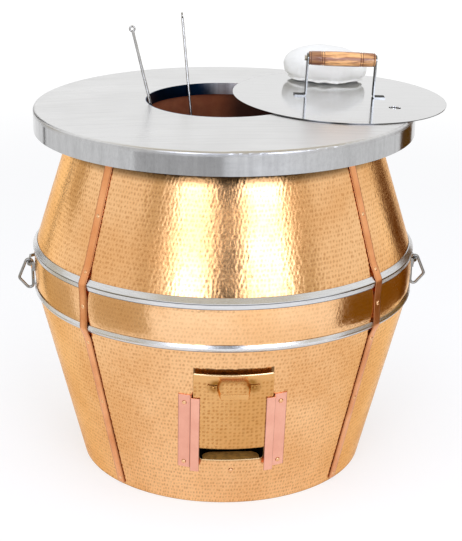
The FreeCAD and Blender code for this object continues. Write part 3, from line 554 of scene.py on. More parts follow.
# %% Clay and packing
def clay_finish():
    material, board, sockets, place = new_finish("fired_clay", metallic=0.0)
    body = board.noise(place, 22.0, 6.0, 0.65)
    grit = board.noise(place, 320.0, 3.0)
    soot = board.fade(board.noise(place, 4.0, 4.0), 0.4, 0.7)
    colour = board.mix(board.fade(body, 0.3, 0.7), (0.47, 0.125, 0.045), (0.62, 0.19, 0.075))
    under_lid = board.fade(board.split(place)[0] + soot * 0.02, -0.01, 0.05) * 0.85
    colour = board.mix(soot * 0.5, colour, (0.07, 0.04, 0.03))
    board.fill(sockets, {
        "Base Color": board.mix(under_lid, colour, (0.012, 0.006, 0.006)),
        "Roughness": grit * 0.1 + 0.82, "Normal": board.bump(body * 0.6 + grit * 0.4, 0.0012, 0.6),
    })
    return material


def wool_finish():
    material, board, sockets, place = new_finish("packing_wool", metallic=0.0)
    fibre = board.noise(board.scaled(place, (260.0, 260.0, 40.0)), 1.0, 5.0)
    colour = board.mix(fibre, (0.42, 0.39, 0.32), (0.62, 0.58, 0.48))
    x, y, _ = board.split(place)
    # painted shade, with soot, where the packing shows through the draft opening
    soot_and_shade = board.fade(x.math("ABSOLUTE"), 0.12, 0.1) * board.fade(y, 0.0, -0.05)
    board.fill(sockets, {
        "Base Color": board.mix(soot_and_shade, colour, (0.002, 0.0018, 0.0016)), "Roughness": 0.95,
        "Specular IOR Level": 0.0, "Normal": board.bump(fibre, 0.002),
    })
    return material


clay = clay_finish()
wool = wool_finish()
print("inside:", clay.name, wool.name)

# %% [markdown]
# ## Wood and cotton
# The grip is oiled wood with long grain along the X axis, so its noise is stretched that way, and a thin
# coat gives the oil. The pad is a plain weave: the product of two sines is a chequer of threads.


# %% Wood and cotton
def wood_finish():
    material, board, sockets, place = new_finish("oiled_wood", metallic=0.0)
    warp = board.noise(board.scaled(place, (16.0, 120.0, 120.0)), 1.0, 5.0, 0.6)
    pores = board.noise(board.scaled(place, (60.0, 900.0, 900.0)), 1.0, 3.0)
    colour = board.mix(board.fade(warp, 0.40, 0.60), (0.96, 0.51, 0.205), (0.30, 0.095, 0.03))
    colour = board.mix(board.fade(pores, 0.55, 0.8) * 0.5, colour, (0.22, 0.07, 0.025))
    x = board.split(place)[0]
    ends = board.fade(x, 0.196, 0.192) * 0.75 + board.fade(x, 0.277, 0.281) * 0.35
    colour = board.mix(ends, colour, (0.15, 0.04, 0.015))
    board.fill(sockets, {
        "Base Color": board.mix(board.stored("groove") * 0.85, colour, (0.07, 0.02, 0.01)),
        "Roughness": warp * 0.2 + 0.30, "Coat Weight": 0.6, "Normal": board.bump(pores, 0.0002, 0.4),
    })
    return material


THREAD = 0.0009  # width of a pair of threads in the pad's cotton


def cotton_finish():
    material, board, sockets, place = new_finish("woven_cotton", metallic=0.0)
    x, y, z = board.split(place)
    warp = (x * (math.tau / THREAD)).math("SINE")
    weft = ((y + z) * (math.tau / THREAD)).math("SINE")
    weave = warp * weft * 0.5 + 0.5
    soft = board.noise(place, 40.0, 4.0)
    colour = board.mix(soft, (0.93, 0.92, 0.86), (0.87, 0.86, 0.81))
    board.fill(sockets, {
        "Base Color": board.mix(weave * 0.1, colour, (0.80, 0.79, 0.745)), "Roughness": soft * 0.1 + 0.82,
        "Sheen Weight": 0.3, "Normal": board.bump(weave * 0.5 + soft, 0.0004, 0.5),
    })
    return material


wood = wood_finish()
cotton = cotton_finish()
print("touched by hands:", wood.name, cotton.name)

# %% [markdown]
# ## The sill and the neck of the mouth
# The sill in the draft opening lies under ash, which scatters light, and the steel neck of the mouth is near
# black on its left and bright on its right. Both are still metal, but each has a finish of its own.


# %% The sill and the neck of the mouth
def sill_finish():
    """Brass dulled by ash, which scatters the light that falls in through the opening."""
    material, board, sockets, place = new_finish("ashy_brass", metallic=0.35)
    ash = board.noise(place, 90.0, 4.0)
    colour = board.mix(board.fade(ash, 0.35, 0.7), (0.95, 0.47, 0.10), (0.62, 0.28, 0.055))
    board.fill(sockets, {
        "Base Color": colour, "Roughness": ash * 0.2 + 0.45, "Normal": board.bump(ash, 0.0004, 0.4),
    })
    return material


def collar_finish():
    """Steel of the mouth's neck: near black with a blue cast on its left, and bright with streaks on its
    right.
    """
    material, board, sockets, place = new_finish("collar_steel", metallic=1.0)
    drift = board.noise(place, 18.0, 4.0)
    black = board.fade(board.split(place)[0] + drift * 0.06, 0.045, -0.015)
    streak = board.fade(board.noise(board.scaled(place, (70.0, 70.0, 4.0)), 1.0, 3.0), 0.35, 0.65)
    bright = board.mix(streak, (0.75, 0.75, 0.75), (1.0, 1.0, 1.0))
    board.fill(sockets, {
        "Base Color": board.mix(black, bright, (0.010, 0.045, 0.12)), "Roughness": drift * 0.2 + 0.2,
        "Normal": board.bump(drift, 0.0004, 0.3),
    })
    return material


ashy_brass = sill_finish()
collar_steel = collar_finish()
print("burnt metal:", ashy_brass.name, collar_steel.name)

# %% [markdown]
# ## Dressing the CAD nodes
# Each CAD node comes with one material slot that names its stuff. Most nodes take the finish of that
# slot, and a few have a finish of their own, because they are ashy, two-toned, carry painted shade or are
# brushed in another way. The slots stay, and only the material in them changes.

# %% Dressing the CAD nodes
slot_finishes = {
    "brass": smooth_brass, "copper": copper, "rose_copper": rose_copper, "steel": bright_steel,
    "clay": clay, "wool": wool, "wood": wood, "cotton": cotton,
}
own_finishes = {
    "top_plate": plate_steel, "lid_disc": lid_steel, "mouth_collar": collar_steel, "draft_sill": ashy_brass,
    "upper_hoop": hoop_steel, "lower_hoop": hoop_steel, "lid_leg_left": leg_steel, "lid_leg_right": leg_steel,
    "handle_bracket_left": handle_steel, "handle_bracket_right": handle_steel,
    "handle_ring_left": handle_steel, "handle_ring_right": handle_steel,
}
for name, node in nodes.items():
    slot_name = node.data.materials[0].name.split(".")[0]
    node.data.materials[0] = own_finishes.get(name, slot_finishes[slot_name])
print("CAD nodes dressed:", len(nodes))

# %% [markdown]
# ## Recipes
# A Geometry Nodes tree is a recipe with named sizes, so one tree can make many pieces. Most recipes here
# bend a flat grid into a form. A recipe may also start from a path or from points, which are passed as a
# small mesh.


# %% Recipes
def recipe(name, floats, ints, start=False):
    """A new Geometry Nodes tree that takes these numbers and a finish, and its inputs as values."""
    tree = bpy.data.node_groups.new(name, "GeometryNodeTree")
    tree.interface.new_socket("Geometry", in_out="OUTPUT", socket_type="NodeSocketGeometry")
    kinds = {"Start": "Geometry"} if start else {}
    kinds |= {**dict.fromkeys(floats, "Float"), **dict.fromkeys(ints, "Int"), "Finish": "Material"}
    for label, kind in kinds.items():
        tree.interface.new_socket(label, in_out="INPUT", socket_type="NodeSocket" + kind)
    board = Board(tree)
    entry = board.add("NodeGroupInput").socket.node
    return board, {label: Value(board, entry.outputs[label]) for label in kinds}


def serve(board, geometry, finish):
    """Ends a recipe: seams close, shading is smooth, everything is real mesh and takes its finish."""
    real = board.add("GeometryNodeRealizeInstances", {}, {0: geometry})
    closed = board.add("GeometryNodeMergeByDistance", {}, {"Geometry": real, "Distance": 0.00001})
    smooth = board.add("GeometryNodeSetShadeSmooth", {}, {"Geometry": closed})
    painted = board.add("GeometryNodeSetMaterial", {}, {"Geometry": smooth, "Material": finish})
    board.add("NodeGroupOutput", {}, {0: painted})


def store(board, geometry, name, value):
    settings = {"data_type": "FLOAT", "domain": "POINT"}
    sockets = {"Geometry": geometry, "Name": name, "Value": value}
    return board.add("GeometryNodeStoreNamedAttribute", settings, sockets)


def moved(board, geometry, x, y, z):
    return board.add("GeometryNodeSetPosition", {}, {"Geometry": geometry, "Position": board.join(x, y, z)})


def unit_grid(board, columns, rows):
    """A grid of that many cells, and where each point is across and along it, from 0 to 1."""
    grid = board.add("GeometryNodeMeshGrid", {}, {
        "Size X": 1.0, "Size Y": 1.0, "Vertices X": columns + 1, "Vertices Y": rows + 1,
    })
    x, y, _ = board.split(board.add("GeometryNodeInputPosition"))
    return grid, x + 0.5, y + 0.5


def at_ends(share):
    """1 for the first and the last points of a grid, and 0 between them."""
    return (share < 0.0001) + (share > 0.9999)


def squared(wave, power):
    """A sine pushed towards its two ends, which squares a circle; a low power gives sharp corners."""
    return wave.math("SIGN") * wave.math("ABSOLUTE") ** power


print("recipes start with", recipe.__name__, "and end with", serve.__name__)

# %% [markdown]
# ## Growing pieces
# `grown` sets a recipe's sizes on a modifier, lets Blender evaluate it once and keeps the result as a plain
# mesh, so nothing live is left on the piece. `new_piece` then hangs it on the body that carries it and hides
# the CAD nodes it stands in for.


# %% Growing pieces
def outward(mesh):
    """Closes a mesh where an edge is still open, and turns all faces outward."""
    work = bmesh.new()
    work.from_mesh(mesh)
    bmesh.ops.holes_fill(work, edges=[edge for edge in work.edges if edge.is_boundary], sides=0)
    bmesh.ops.recalc_face_normals(work, faces=work.faces)
    work.to_mesh(mesh)
    work.free()
    return mesh


def evaluated(mesh, dress):
    """The plain mesh that a modifier makes of this one; dress adds the modifier."""
    holder = bpy.data.objects.new(mesh.name, mesh)
    scene.collection.objects.link(holder)
    dress(holder)
    ready = holder.evaluated_get(bpy.context.evaluated_depsgraph_get())
    result = bpy.data.meshes.new_from_object(ready)
    result.name = mesh.name
    holder.modifiers.clear()
    bpy.data.objects.remove(holder)
    return result


def grown(name, board, values, start=None):
    """The mesh that a recipe gives for these values."""

    def dress(holder):
        modifier = holder.modifiers.new("recipe", "NODES")
        modifier.node_group = board.tree
        for socket in board.tree.interface.items_tree:
            if socket.in_out == "INPUT" and socket.name in values:
                modifier[socket.identifier] = values[socket.name]

    mesh = evaluated(start or bpy.data.meshes.new(name), dress)
    mesh.name = name
    return outward(mesh)


def new_piece(name, mesh, body, slot_name, replaced):
    """A finished mesh as a piece of the object: it rides a body, and the CAD nodes it replaces are hidden."""
    piece = bpy.data.objects.new(name, mesh)
    scene.collection.objects.link(piece)
    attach(piece, body)
    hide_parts(*replaced)
    return piece


print("pieces come from:", grown.__name__, new_piece.__name__)

# %% [markdown]
# ## Hammer blows
# A sheet is one grid: its columns go round the barrel and its rows go up the outer face, over the edge and
# down the inside, so it closes on itself. The dimples lie in rows like bricks, each a little deeper or
# shallower than the next, because every one is a single blow of a hammer.

# %% Hammer blows
FINE = 3  # mesh cells across and up each dimple
NUDGE = 0.01  # keeps points that lie on a cell's border in that cell
AIM_ERROR = 0.75  # how far aside a blow may fall, as a share of the cell
SPACING = 1.15  # how much wider a cell is than its dimple
sheet, size = recipe("hammered sheet", floats=(
    "Low radius", "High radius", "Low height", "High height", "Swell", "Sheet", "Hem",
    "First angle", "Sweep", "Open", "Stagger", "Depth", "Ripple", "Seed",
), ints=("Columns", "Rows"))


def in_dimple(cells, error):
    """Where a point lies across its dimple, with the middle at 0 and the rims at -1 and 1."""
    return (cells.math("FRACT") * 2 - (1 + 2 * NUDGE) + (error - 0.5) * AIM_ERROR) * SPACING


# The three rows past the outer face are the inner face's top, its foot, and the outer foot once more.
steps = size["Rows"] * FINE
grid, around, upward = unit_grid(sheet, size["Columns"] * FINE, steps + 3)
level = (upward * (steps + 3)).math("ROUND")
outside = level < (steps + 0.5)
returning = level > (steps + 1.5)
inside = (1 - outside) * (level < (steps + 2.5))
rise = (level / steps).math("MINIMUM", 1.0) * (1 - returning)
body_width = 1 - size["Open"] * at_ends(around)
cells_up = rise * size["Rows"] + NUDGE
row = cells_up.math("FLOOR")
row_seed = sheet.join(row, size["Seed"], 0.0)
chance = sheet.add("ShaderNodeTexWhiteNoise", {"noise_dimensions": "2D"}, {"Vector": row_seed})
stagger = ((row % 2.0) * 0.5 + (chance * 2).math("FLOOR") * 0.25) * size["Stagger"]
cells_around = around * size["Columns"] + stagger + NUDGE
column = cells_around.math("FLOOR") % size["Columns"]
blow_seed = sheet.join(column, row, size["Seed"])
chances = sheet.add("ShaderNodeTexWhiteNoise", {}, {"Vector": blow_seed}, "Color")
blow, aside, above = sheet.split(chances)
a = in_dimple(cells_around, aside)
b = in_dimple(cells_up, above)
# A folded edge has no dimples next to it.
plain = (size["Hem"] > 0.0) * sheet.fade(rise, 0.9, 0.93)
hollow = (1 - a * a).math("MAXIMUM", 0.0) * (1 - b * b).math("MAXIMUM", 0.0)
dent = hollow * outside * body_width * (1 - plain) * (rise > 0.0001)
print("hammer blows:", len(sheet.tree.nodes), "nodes")

# %% [markdown]
# ## Hammered sheets
# The blows are pushed into a rolled sheet, which may swell, wave a little or have a folded edge. Real dimples
# catch the light at every angle, where a bump in the finish would look flat at the outline.

# %% Hammered sheets
angle = size["First angle"] + around * size["Sweep"]
ring_x = angle.math("SINE")
ring_y = angle.math("COSINE") * -1
wave = sheet.noise(sheet.join(ring_x * 1.4, ring_y * 1.4, rise * 2.0), 2.2, 2.0) * size["Ripple"]
radius = size["Low radius"] + (size["High radius"] - size["Low radius"]) * rise
radius = radius + size["Swell"] * 4 * rise * (1 - rise) - wave - dent * (blow * 0.7 + 0.65) * size["Depth"]
radius = radius + size["Hem"] * outside * body_width * sheet.fade(rise, 0.965, 0.98)
radius = radius - inside * body_width * size["Sheet"]
height = size["Low height"] + (size["High height"] - size["Low height"]) * rise
marked = store(sheet, grid, "dent", dent * (blow * 0.5 + 0.65))
serve(sheet, moved(sheet, marked, ring_x * radius, ring_y * radius, height), size["Finish"])


def hammered(name, low, high, turn, counts, depth, seed, finish, swell=0.0, hem=0.0, ripple=0.5, stagger=1.0):
    """A hammered sheet from one (radius, height) to another, over a range of azimuth in degrees."""
    return grown(name, sheet, {
        "Low radius": low[0] * MM, "High radius": high[0] * MM, "Low height": low[1] * MM,
        "High height": high[1] * MM, "Swell": swell * MM, "Sheet": 1.5 * MM, "Hem": hem * MM,
        "First angle": math.radians(turn[0]), "Sweep": math.radians(turn[1] - turn[0]),
        "Open": float(turn[1] - turn[0] < 359), "Columns": counts[0], "Rows": counts[1], "Stagger": stagger,
        "Depth": depth * MM, "Ripple": ripple * MM, "Seed": seed, "Finish": finish,
    })


print("hammered sheet:", len(sheet.tree.nodes), "nodes")

# %% [markdown]
# ## The four sheets of the barrel
# The barrel is an upper cone, a belly band and a lower cone in two sheets, whose seams lie under the
# front straps. All four are the same recipe with other sizes, counts and seeds, so the marks of one sheet
# never carry on into the next.

# %% The four sheets of the barrel
SEAM = 0.05  # the gap that each sheet leaves at a joint
HAIR = 0.01  # millimetres or degrees that keep two sheets from sharing points
STRAP_TURN = 46.0  # azimuth of the straps, which cover the seams of the lower sheets
full_turn = (-180.0, 180.0)
upper_ends = ((JOINT_RADIUS, UPPER_JOINT + SEAM), (292.85, 736.85))
upper = hammered("upper_skin", *upper_ends, full_turn, counts=(325, 33), depth=0.37, seed=3.0, finish=brass)
belly_ends = ((JOINT_RADIUS, LOWER_JOINT + SEAM), (JOINT_RADIUS, UPPER_JOINT - SEAM))
belly = hammered("belly_skin", *belly_ends, full_turn, counts=(356, 10), depth=0.14, seed=11.0,
                 finish=belly_brass, swell=3.3)
lower_ends = ((BASE_RADIUS, 0.0), (JOINT_RADIUS - HAIR, LOWER_JOINT - SEAM))
back = hammered("lower_back_skin", *lower_ends, (STRAP_TURN, 360.0 - STRAP_TURN),
                counts=(242, 41), depth=0.42, seed=7.0, finish=brass)
front = hammered("lower_front_skin", *lower_ends, (HAIR - STRAP_TURN, STRAP_TURN - HAIR),
                 counts=(83, 41), depth=0.42, seed=5.0, finish=brass)
new_piece("upper_skin", upper, "tandoor", "brass", ["upper_shell"])
new_piece("belly_skin", belly, "tandoor", "brass", ["belly_band"])
new_piece("lower_back_skin", back, "tandoor", "brass", ["lower_back_sheet"])
print("sheet faces:", [len(mesh.polygons) for mesh in (upper, belly, back, front)])

# %% [markdown]
# ## Draft opening
# The front sheet has a round-cornered hole for the air. A Boolean modifier cuts it with a block whose four
# long edges were bevelled first, which is quicker than modelling the hole into the grid.

# %% Draft opening
OPENING_LOW, OPENING_HIGH, OPENING_CORNER = (-0.062, -0.6, 0.107), (0.062, 0.0, 0.247), 0.008


def opening_block(low, high, corner):
    """A block from one corner to the other, with its edges along the Y axis rounded."""
    work = bmesh.new()
    bmesh.ops.create_cube(work, size=1.0)
    for vertex in work.verts:
        vertex.co = Vector([low[i] + (vertex.co[i] + 0.5) * (high[i] - low[i]) for i in range(3)])
    posts = [e for e in work.edges if abs(e.verts[0].co.y - e.verts[1].co.y) > 1e-6]
    bmesh.ops.bevel(work, geom=posts, offset=corner, segments=6, affect="EDGES", profile=0.5)
    block = bpy.data.meshes.new("opening")
    block.materials.append(brass)
    work.to_mesh(block)
    work.free()
    return block


cutter = bpy.data.objects.new("opening", opening_block(OPENING_LOW, OPENING_HIGH, OPENING_CORNER))
scene.collection.objects.link(cutter)


def cut_opening(holder):
    modifier = holder.modifiers.new("cut", "BOOLEAN")
    modifier.operation = "DIFFERENCE"
    modifier.object = cutter


def without_twins(mesh):
    """Cuts the many-sided faces into triangles, and drops any two faces that lie on each other."""
    work = bmesh.new()
    work.from_mesh(mesh)
    bmesh.ops.triangulate(work, faces=[face for face in work.faces if len(face.verts) > 4])
    groups = {}
    for face in work.faces:
        groups.setdefault(frozenset(face.verts), []).append(face)
    twins = [face for group in groups.values() if len(group) > 1 for face in group]
    bmesh.ops.delete(work, geom=twins, context="FACES")
    work.to_mesh(mesh)
    work.free()
    return mesh


front = without_twins(evaluated(front, cut_opening))
bpy.data.objects.remove(cutter)
new_piece("lower_front_skin", front, "tandoor", "brass", ["lower_front_sheet"])
print("front sheet with its opening:", len(front.polygons), "faces")

# %% [markdown]
# ## Draft door
# The door is the same hammered sheet, rolled to the barrel and leaning with it. Its top edge is folded
# over, which stiffens the sheet, so the recipe has a hem, and a painted highlight in the finish gives the
# bright line along it. Its dimples stand in columns, so they have no stagger.

# %% Draft door
DOOR_ROLL = 399.05  # radius of the door's outer face
DOOR_STANDS_OFF = 8.0  # from the barrel's wall to that face
DOOR_HALF, DOOR_LOW, DOOR_HIGH = 75.5, 143.67, 321.67
barrel_front = Matrix.Translation((0, -BASE_RADIUS * MM, 0)) @ Matrix.Rotation(SLOPE, 4, "X")
door_reach = math.degrees(math.asin(DOOR_HALF / DOOR_ROLL))
door = hammered("door_skin", (DOOR_ROLL, DOOR_LOW), (DOOR_ROLL, DOOR_HIGH), (-door_reach, door_reach),
                counts=(18, 20), depth=0.4, seed=21.0, finish=door_brass, hem=0.8, ripple=0.3, stagger=0.0)
door.transform(barrel_front @ Matrix.Translation((0, (DOOR_ROLL - DOOR_STANDS_OFF) * MM, 0)))
new_piece("door_skin", door, "door", "brass", ["draft_door"])
print("door faces:", len(door.polygons))

# %% [markdown]
# ## Bent strips
# Straps, and the door's pull, are flat strip bent along a path. The recipe rounds the path's corners, walks
# along it with a section that has soft edges and a slight crown, and closes both ends.
# It marks how near a point is to the strip's edge, where the copper finish is darker.

# %% Bent strips
SECTION = 20  # points round the strip
WANDER_WAVES = 30.0  # how quickly a strip wanders from side to side along its length
strip_floats = ("Width", "Sheet", "Crown", "Bend", "Wander", "Seed")
strip, size = recipe("bent strip", strip_floats, ints=("Rows",), start=True)
route = strip.add("GeometryNodeMeshToCurve", {}, {0: size["Start"]})
eased = strip.add("GeometryNodeFilletCurve", {"mode": "POLY"}, {
    "Curve": route, "Count": 6, "Radius": size["Bend"], "Limit Radius": True,
})
grid, turning, along = unit_grid(strip, columns=SECTION, rows=size["Rows"])
stop = {"Curves": eased, "Factor": along}
spot = strip.add("GeometryNodeSampleCurve", {"mode": "FACTOR"}, stop, "Position")
out, _, up = strip.split(spot)
lean_out, _, lean_up = strip.split(Value(strip, spot.socket.node.outputs["Tangent"]))
closing = 1 - at_ends(along)
angle = turning * math.tau
across = squared(angle.math("COSINE"), power=0.3) * closing
lift = squared(angle.math("SINE"), power=0.3) * closing * 0.5 + 0.5
wander = (strip.noise(strip.join(size["Seed"], 0.0, along * WANDER_WAVES), 1.0) - 0.5) * size["Wander"]
lift = lift * size["Sheet"] + (1 - across * across) * size["Crown"]
marked = store(strip, grid, "edge", across.math("ABSOLUTE"))
sideways = across * size["Width"] * 0.5 + wander
serve(strip, moved(strip, marked, out + lean_up * lift, sideways, up - lean_out * lift), size["Finish"])


def bent_strip(name, path, width, thick, crown, bend, rows, wander, seed, finish):
    """A strip bent along a path of (outward, upward) points in millimetres; its outer face looks outward."""
    line = bpy.data.meshes.new(name)
    links = [(i, i + 1) for i in range(len(path) - 1)]
    line.from_pydata([(o * MM, 0, u * MM) for o, u in path], links, [])
    return grown(name, strip, {
        "Width": width * MM, "Sheet": thick * MM, "Crown": crown * MM, "Bend": bend * MM, "Rows": rows,
        "Wander": wander * MM, "Seed": seed, "Finish": finish,
    }, line)


print("bent strip:", len(strip.tree.nodes), "nodes")

# %% [markdown]
# ## Copper straps
# Four straps run from under the plate to the floor, over both hoops. They are alike, so one path in the
# plane of a strap is enough, and turning the finished strip about the barrel's axis sets all four.

# %% Copper straps
strap_path = [
    (295.34, 3.0), (378.41, 341.8), (388.2, 363.5), (388.2, 366.5), (387.4, 388.2), (387.4, 425.85),
    (389.2, 451.1), (389.2, 454.1), (372.96, 487.35), (302.99, 705.5),
]
straps = {
    "front_left": -STRAP_TURN, "front_right": STRAP_TURN,
    "back_left": STRAP_TURN - 180.0, "back_right": 180.0 - STRAP_TURN,
}
for seed, (side, azimuth) in enumerate(straps.items()):
    name = "strap_" + side
    strap = bent_strip(name, strap_path, width=20.0, thick=1.6, crown=1.0, bend=10.0, rows=260,
                       wander=0.8, seed=seed * 5.0, finish=copper)
    strap.transform(Matrix.Rotation(math.radians(azimuth - 90), 4, "Z"))
    new_piece(name + "_skin", strap, "tandoor", "copper", [name])
print("straps:", list(straps))

# %% [markdown]
# ## Door pull
# The pull is a narrow strip with two feet and a raised crest for the fingers. Its path runs from left to
# right, so the strip's own axes are turned: outward stays outward, and the path's upward becomes the
# door's width.

# %% Door pull
PULL_BELOW_EDGE = 30.0  # from the door's folded edge down to the middle of the pull
pull_half = [(34.6, 25.0), (7.0, 30.0), (4.9, 50.0)]
pull_path = [(out, -side) for out, side in reversed(pull_half)] + pull_half
pull = bent_strip("pull_skin", pull_path, width=12.0, thick=1.5, crown=0.0, bend=3.0, rows=120,
                  wander=0.0, seed=2.0, finish=door_brass)
pull_height = (DOOR_HIGH - PULL_BELOW_EDGE) * MM
to_door = Matrix(((0, 0, 1, 0), (-1, 0, 0, 0), (0, -1, 0, pull_height), (0, 0, 0, 1)))
pull.transform(barrel_front @ to_door)
new_piece("pull_skin", pull, "door", "brass", ["door_pull"])
print("pull faces:", len(pull.polygons))

# %% [markdown]
# ## Where the rivets are
# Every rivet is the same low dome, so one dome is placed on points. The points come from the CAD rivets:
# a rivet is wider than it is tall, so the direction in which its points spread least is its axis.

# %% Where the rivets are
RIVET_SUNK = 1.0 * MM  # the part of a CAD rivet that lies in the sheet


def rivet_spots(*names):
    """Foot and axis of each rivet in these CAD nodes."""
    spots = []
    for name in names:
        source = bmesh.new()
        source.from_mesh(nodes[name].data)
        bmesh.ops.remove_doubles(source, verts=source.verts, dist=1e-6)
        seen = set()
        for first in source.verts:
            if first in seen:
                continue
            island = [first]
            seen.add(first)
            for vertex in island:
                near = [edge.other_vert(vertex) for edge in vertex.link_edges]
                island += [v for v in near if v not in seen]
                seen.update(near)
            cloud = np.unique(np.array([v.co[:] for v in island]), axis=0)
            centre = cloud.mean(axis=0)
            aim = np.linalg.svd(cloud - centre, full_matrices=False)[2][2]
            aim = aim * np.sign(aim[0] * centre[0] + aim[1] * centre[1])
            foot = centre + aim * (((cloud - centre) @ aim).min() + RIVET_SUNK)
            spots.append((Vector(foot), Vector(aim)))
        source.free()
    return spots


print("strap rivets in the CAD part:", len(rivet_spots("strap_rivets")))

# %% [markdown]
# ## Rivets
# Instancing sets one dome on every point, turned along that rivet's axis and a little larger or smaller, as
# rivets set by hand are. Realizing the instances at the end makes them a plain mesh that can be exported.

# %% Rivets
DOME_FOOT = 0.5 * MM  # how far a dome reaches into the sheet
domes, size = recipe("rivets", floats=("Radius", "Height"), ints=("Seed",), start=True)
ball = domes.add("GeometryNodeMeshUVSphere", {}, {"Segments": 20, "Rings": 14, "Radius": 1.0})
x, y, z = domes.split(domes.add("GeometryNodeInputPosition"))
tall = z.math("MAXIMUM", 0.0) * size["Height"] + z.math("MINIMUM", 0.0) * DOME_FOOT
# The mark is highest at the dome's foot, so the finish darkens the dome where it meets the sheet.
marked = store(domes, ball, "dent", domes.fade(z, 0.55, 0.15))
dome = moved(domes, marked, x * size["Radius"], y * size["Radius"], tall)
aim = domes.add("GeometryNodeInputNamedAttribute", {"data_type": "FLOAT_VECTOR"}, {"Name": "aim"})
upright = domes.add("FunctionNodeAlignRotationToVector", {"axis": "Z"}, {"Vector": aim})
least_and_most = {2: 0.9, 3: 1.06, "Seed": size["Seed"]}
vary = domes.add("FunctionNodeRandomValue", {"data_type": "FLOAT"}, least_and_most, 1)
placed = domes.add("GeometryNodeInstanceOnPoints", {}, {
    "Points": size["Start"], "Instance": dome, "Rotation": upright, "Scale": vary,
})
serve(domes, placed, size["Finish"])


def rivets(name, body, sources, finish):
    """Domes in the place of all the rivets in some CAD nodes, and how many there are."""
    spots = rivet_spots(*sources)
    points = bpy.data.meshes.new(name)
    points.from_pydata([foot for foot, aim in spots], [], [])
    aims = points.attributes.new("aim", "FLOAT_VECTOR", "POINT")
    aims.data.foreach_set("vector", [c for foot, aim in spots for c in aim])
    sizes = {"Radius": 4.6 * MM, "Height": 2.5 * MM, "Seed": 4, "Finish": finish}
    mesh = grown(name, domes, sizes, points)
    new_piece(name, mesh, body, "brass", sources)
    return len(spots)


on_barrel = ["strap_rivets", "guide_rivets", "sill_rivet", "bracket_rivets"]
barrel_rivets = rivets("barrel_rivets", "tandoor", on_barrel, rivet_brass)
door_rivets = rivets("door_rivets", "door", ["pull_rivets"], door_brass)
print("rivets:", barrel_rivets, "on the barrel,", door_rivets, "on the door")

# %% [markdown]
# ## Skewers
# A skewer is square bar twisted along its length, so bread and meat don't slip, with a tapered point and a
# wire eye. Twisting is a turn of the section that grows with height.

# %% Skewers
BLUNT = 0.25  # the part of the bar's thickness that is left at its tip
EYE_ABOVE = 3.3 * MM  # from the bar's end up to the middle of its eye
skewer_floats = ("Length", "Half side", "Point", "Turns", "Eye", "Wire", "Eye turn")
skewer, size = recipe("twisted skewer", skewer_floats, ints=("Rows",))
grid, turning, along = unit_grid(skewer, columns=16, rows=size["Rows"])
taper = (along * size["Length"] / size["Point"] * (1 - BLUNT) + BLUNT).math("MINIMUM", 1.0)
taper = taper * size["Half side"] * (1 - at_ends(along))
angle = turning * math.tau
face_x = squared(angle.math("COSINE"), power=0.84) * taper
face_y = squared(angle.math("SINE"), power=0.84) * taper
twist = along * size["Turns"] * math.tau
cosine = twist.math("COSINE")
sine = twist.math("SINE")
side_x = face_x * cosine - face_y * sine
side_y = face_x * sine + face_y * cosine
bar = moved(skewer, grid, side_x, side_y, along * size["Length"])
loop = skewer.add("GeometryNodeCurvePrimitiveCircle", {}, {"Resolution": 28, "Radius": size["Eye"]})
wire = skewer.add("GeometryNodeCurvePrimitiveCircle", {}, {"Resolution": 14, "Radius": size["Wire"]})
eye = skewer.add("GeometryNodeCurveToMesh", {}, {"Curve": loop, "Profile Curve": wire})
eye = skewer.add("GeometryNodeTransform", {}, {
    "Geometry": eye, "Translation": skewer.join(0.0, 0.0, size["Length"] + EYE_ABOVE),
    "Rotation": skewer.join(math.pi / 2, 0.0, size["Eye turn"]),
})
both = skewer.add("GeometryNodeJoinGeometry", {}, {0: eye})
skewer.feed(both.socket.node.inputs[0], bar)
serve(skewer, both, size["Finish"])
print("twisted skewer:", len(skewer.tree.nodes), "nodes")

# %% [markdown]
# ## Two skewers
# Both skewers lean in the mouth with their points on the floor of the pot. The recipe makes an upright
# bar, so one turn and one shift bring each to its place.

# %% Two skewers
ONE_TURN = 104.0  # millimetres of bar for each full twist
# Each skewer: its tip in millimetres, the way it leans, its length, and how its eye is turned.
skewers = {
    "skewer_left": ((8.37, 2.13, 62.48), (-0.22292181, -0.05682206, 0.97317887), 850.0, 0.0),
    "skewer_right": ((-9.97, 20.18, 62.45), (-0.08302326, 0.16798481, 0.98228725), 834.0, math.pi / 2),
}
for name, (tip, aim, length, eye_turn) in skewers.items():
    mesh = grown(name, skewer, {
        "Length": length * MM, "Half side": 2.7 * MM, "Point": 24 * MM, "Turns": length / ONE_TURN,
        "Rows": 640, "Eye": 4.7 * MM, "Wire": 1.9 * MM, "Eye turn": eye_turn, "Finish": skewer_steel,
    })
    upright = Vector((0, 0, 1)).rotation_difference(Vector(aim)).to_matrix().to_4x4()
    mesh.transform(Matrix.Translation(Vector(tip) * MM) @ upright)
    new_piece(name + "_bar", mesh, name, "steel", [name])
print("skewers:", list(skewers))

# %% [markdown]
# ## Outline of the grip
# The wooden grip was turned on a lathe: fuller in the middle, with a pair of fine grooves on each side and
# one more near each end. A formula for the radius is all that such a form needs.

# %% Outline of the grip
GRIP_HALF, GRIP_RADIUS, GRIP_TAPER = 67.0, 14.8, 1.2
GRIP_MIDDLE, GRIP_AXIS = Vector((236.274, 20.841, 820.834)), Vector((0.999312, 0.000397, -0.037081))
GRIP_STEP = 0.5  # from one ring of the mesh to the next
GROOVES, GROOVE_WIDTH, GROOVE_DEPTH = (36.6, 41.0, 63.4), 0.75, 0.9
ROUNDED, ROUNDED_BY = 1.8, 1.6  # how far from its end the grip starts to round off, and by how much


def groove_shape(x):
    """How deep each of the grooves is at x from the grip's middle, from 0 to 1."""
    return [math.exp(-((abs(x) - groove) / GROOVE_WIDTH) ** 2) for groove in GROOVES]


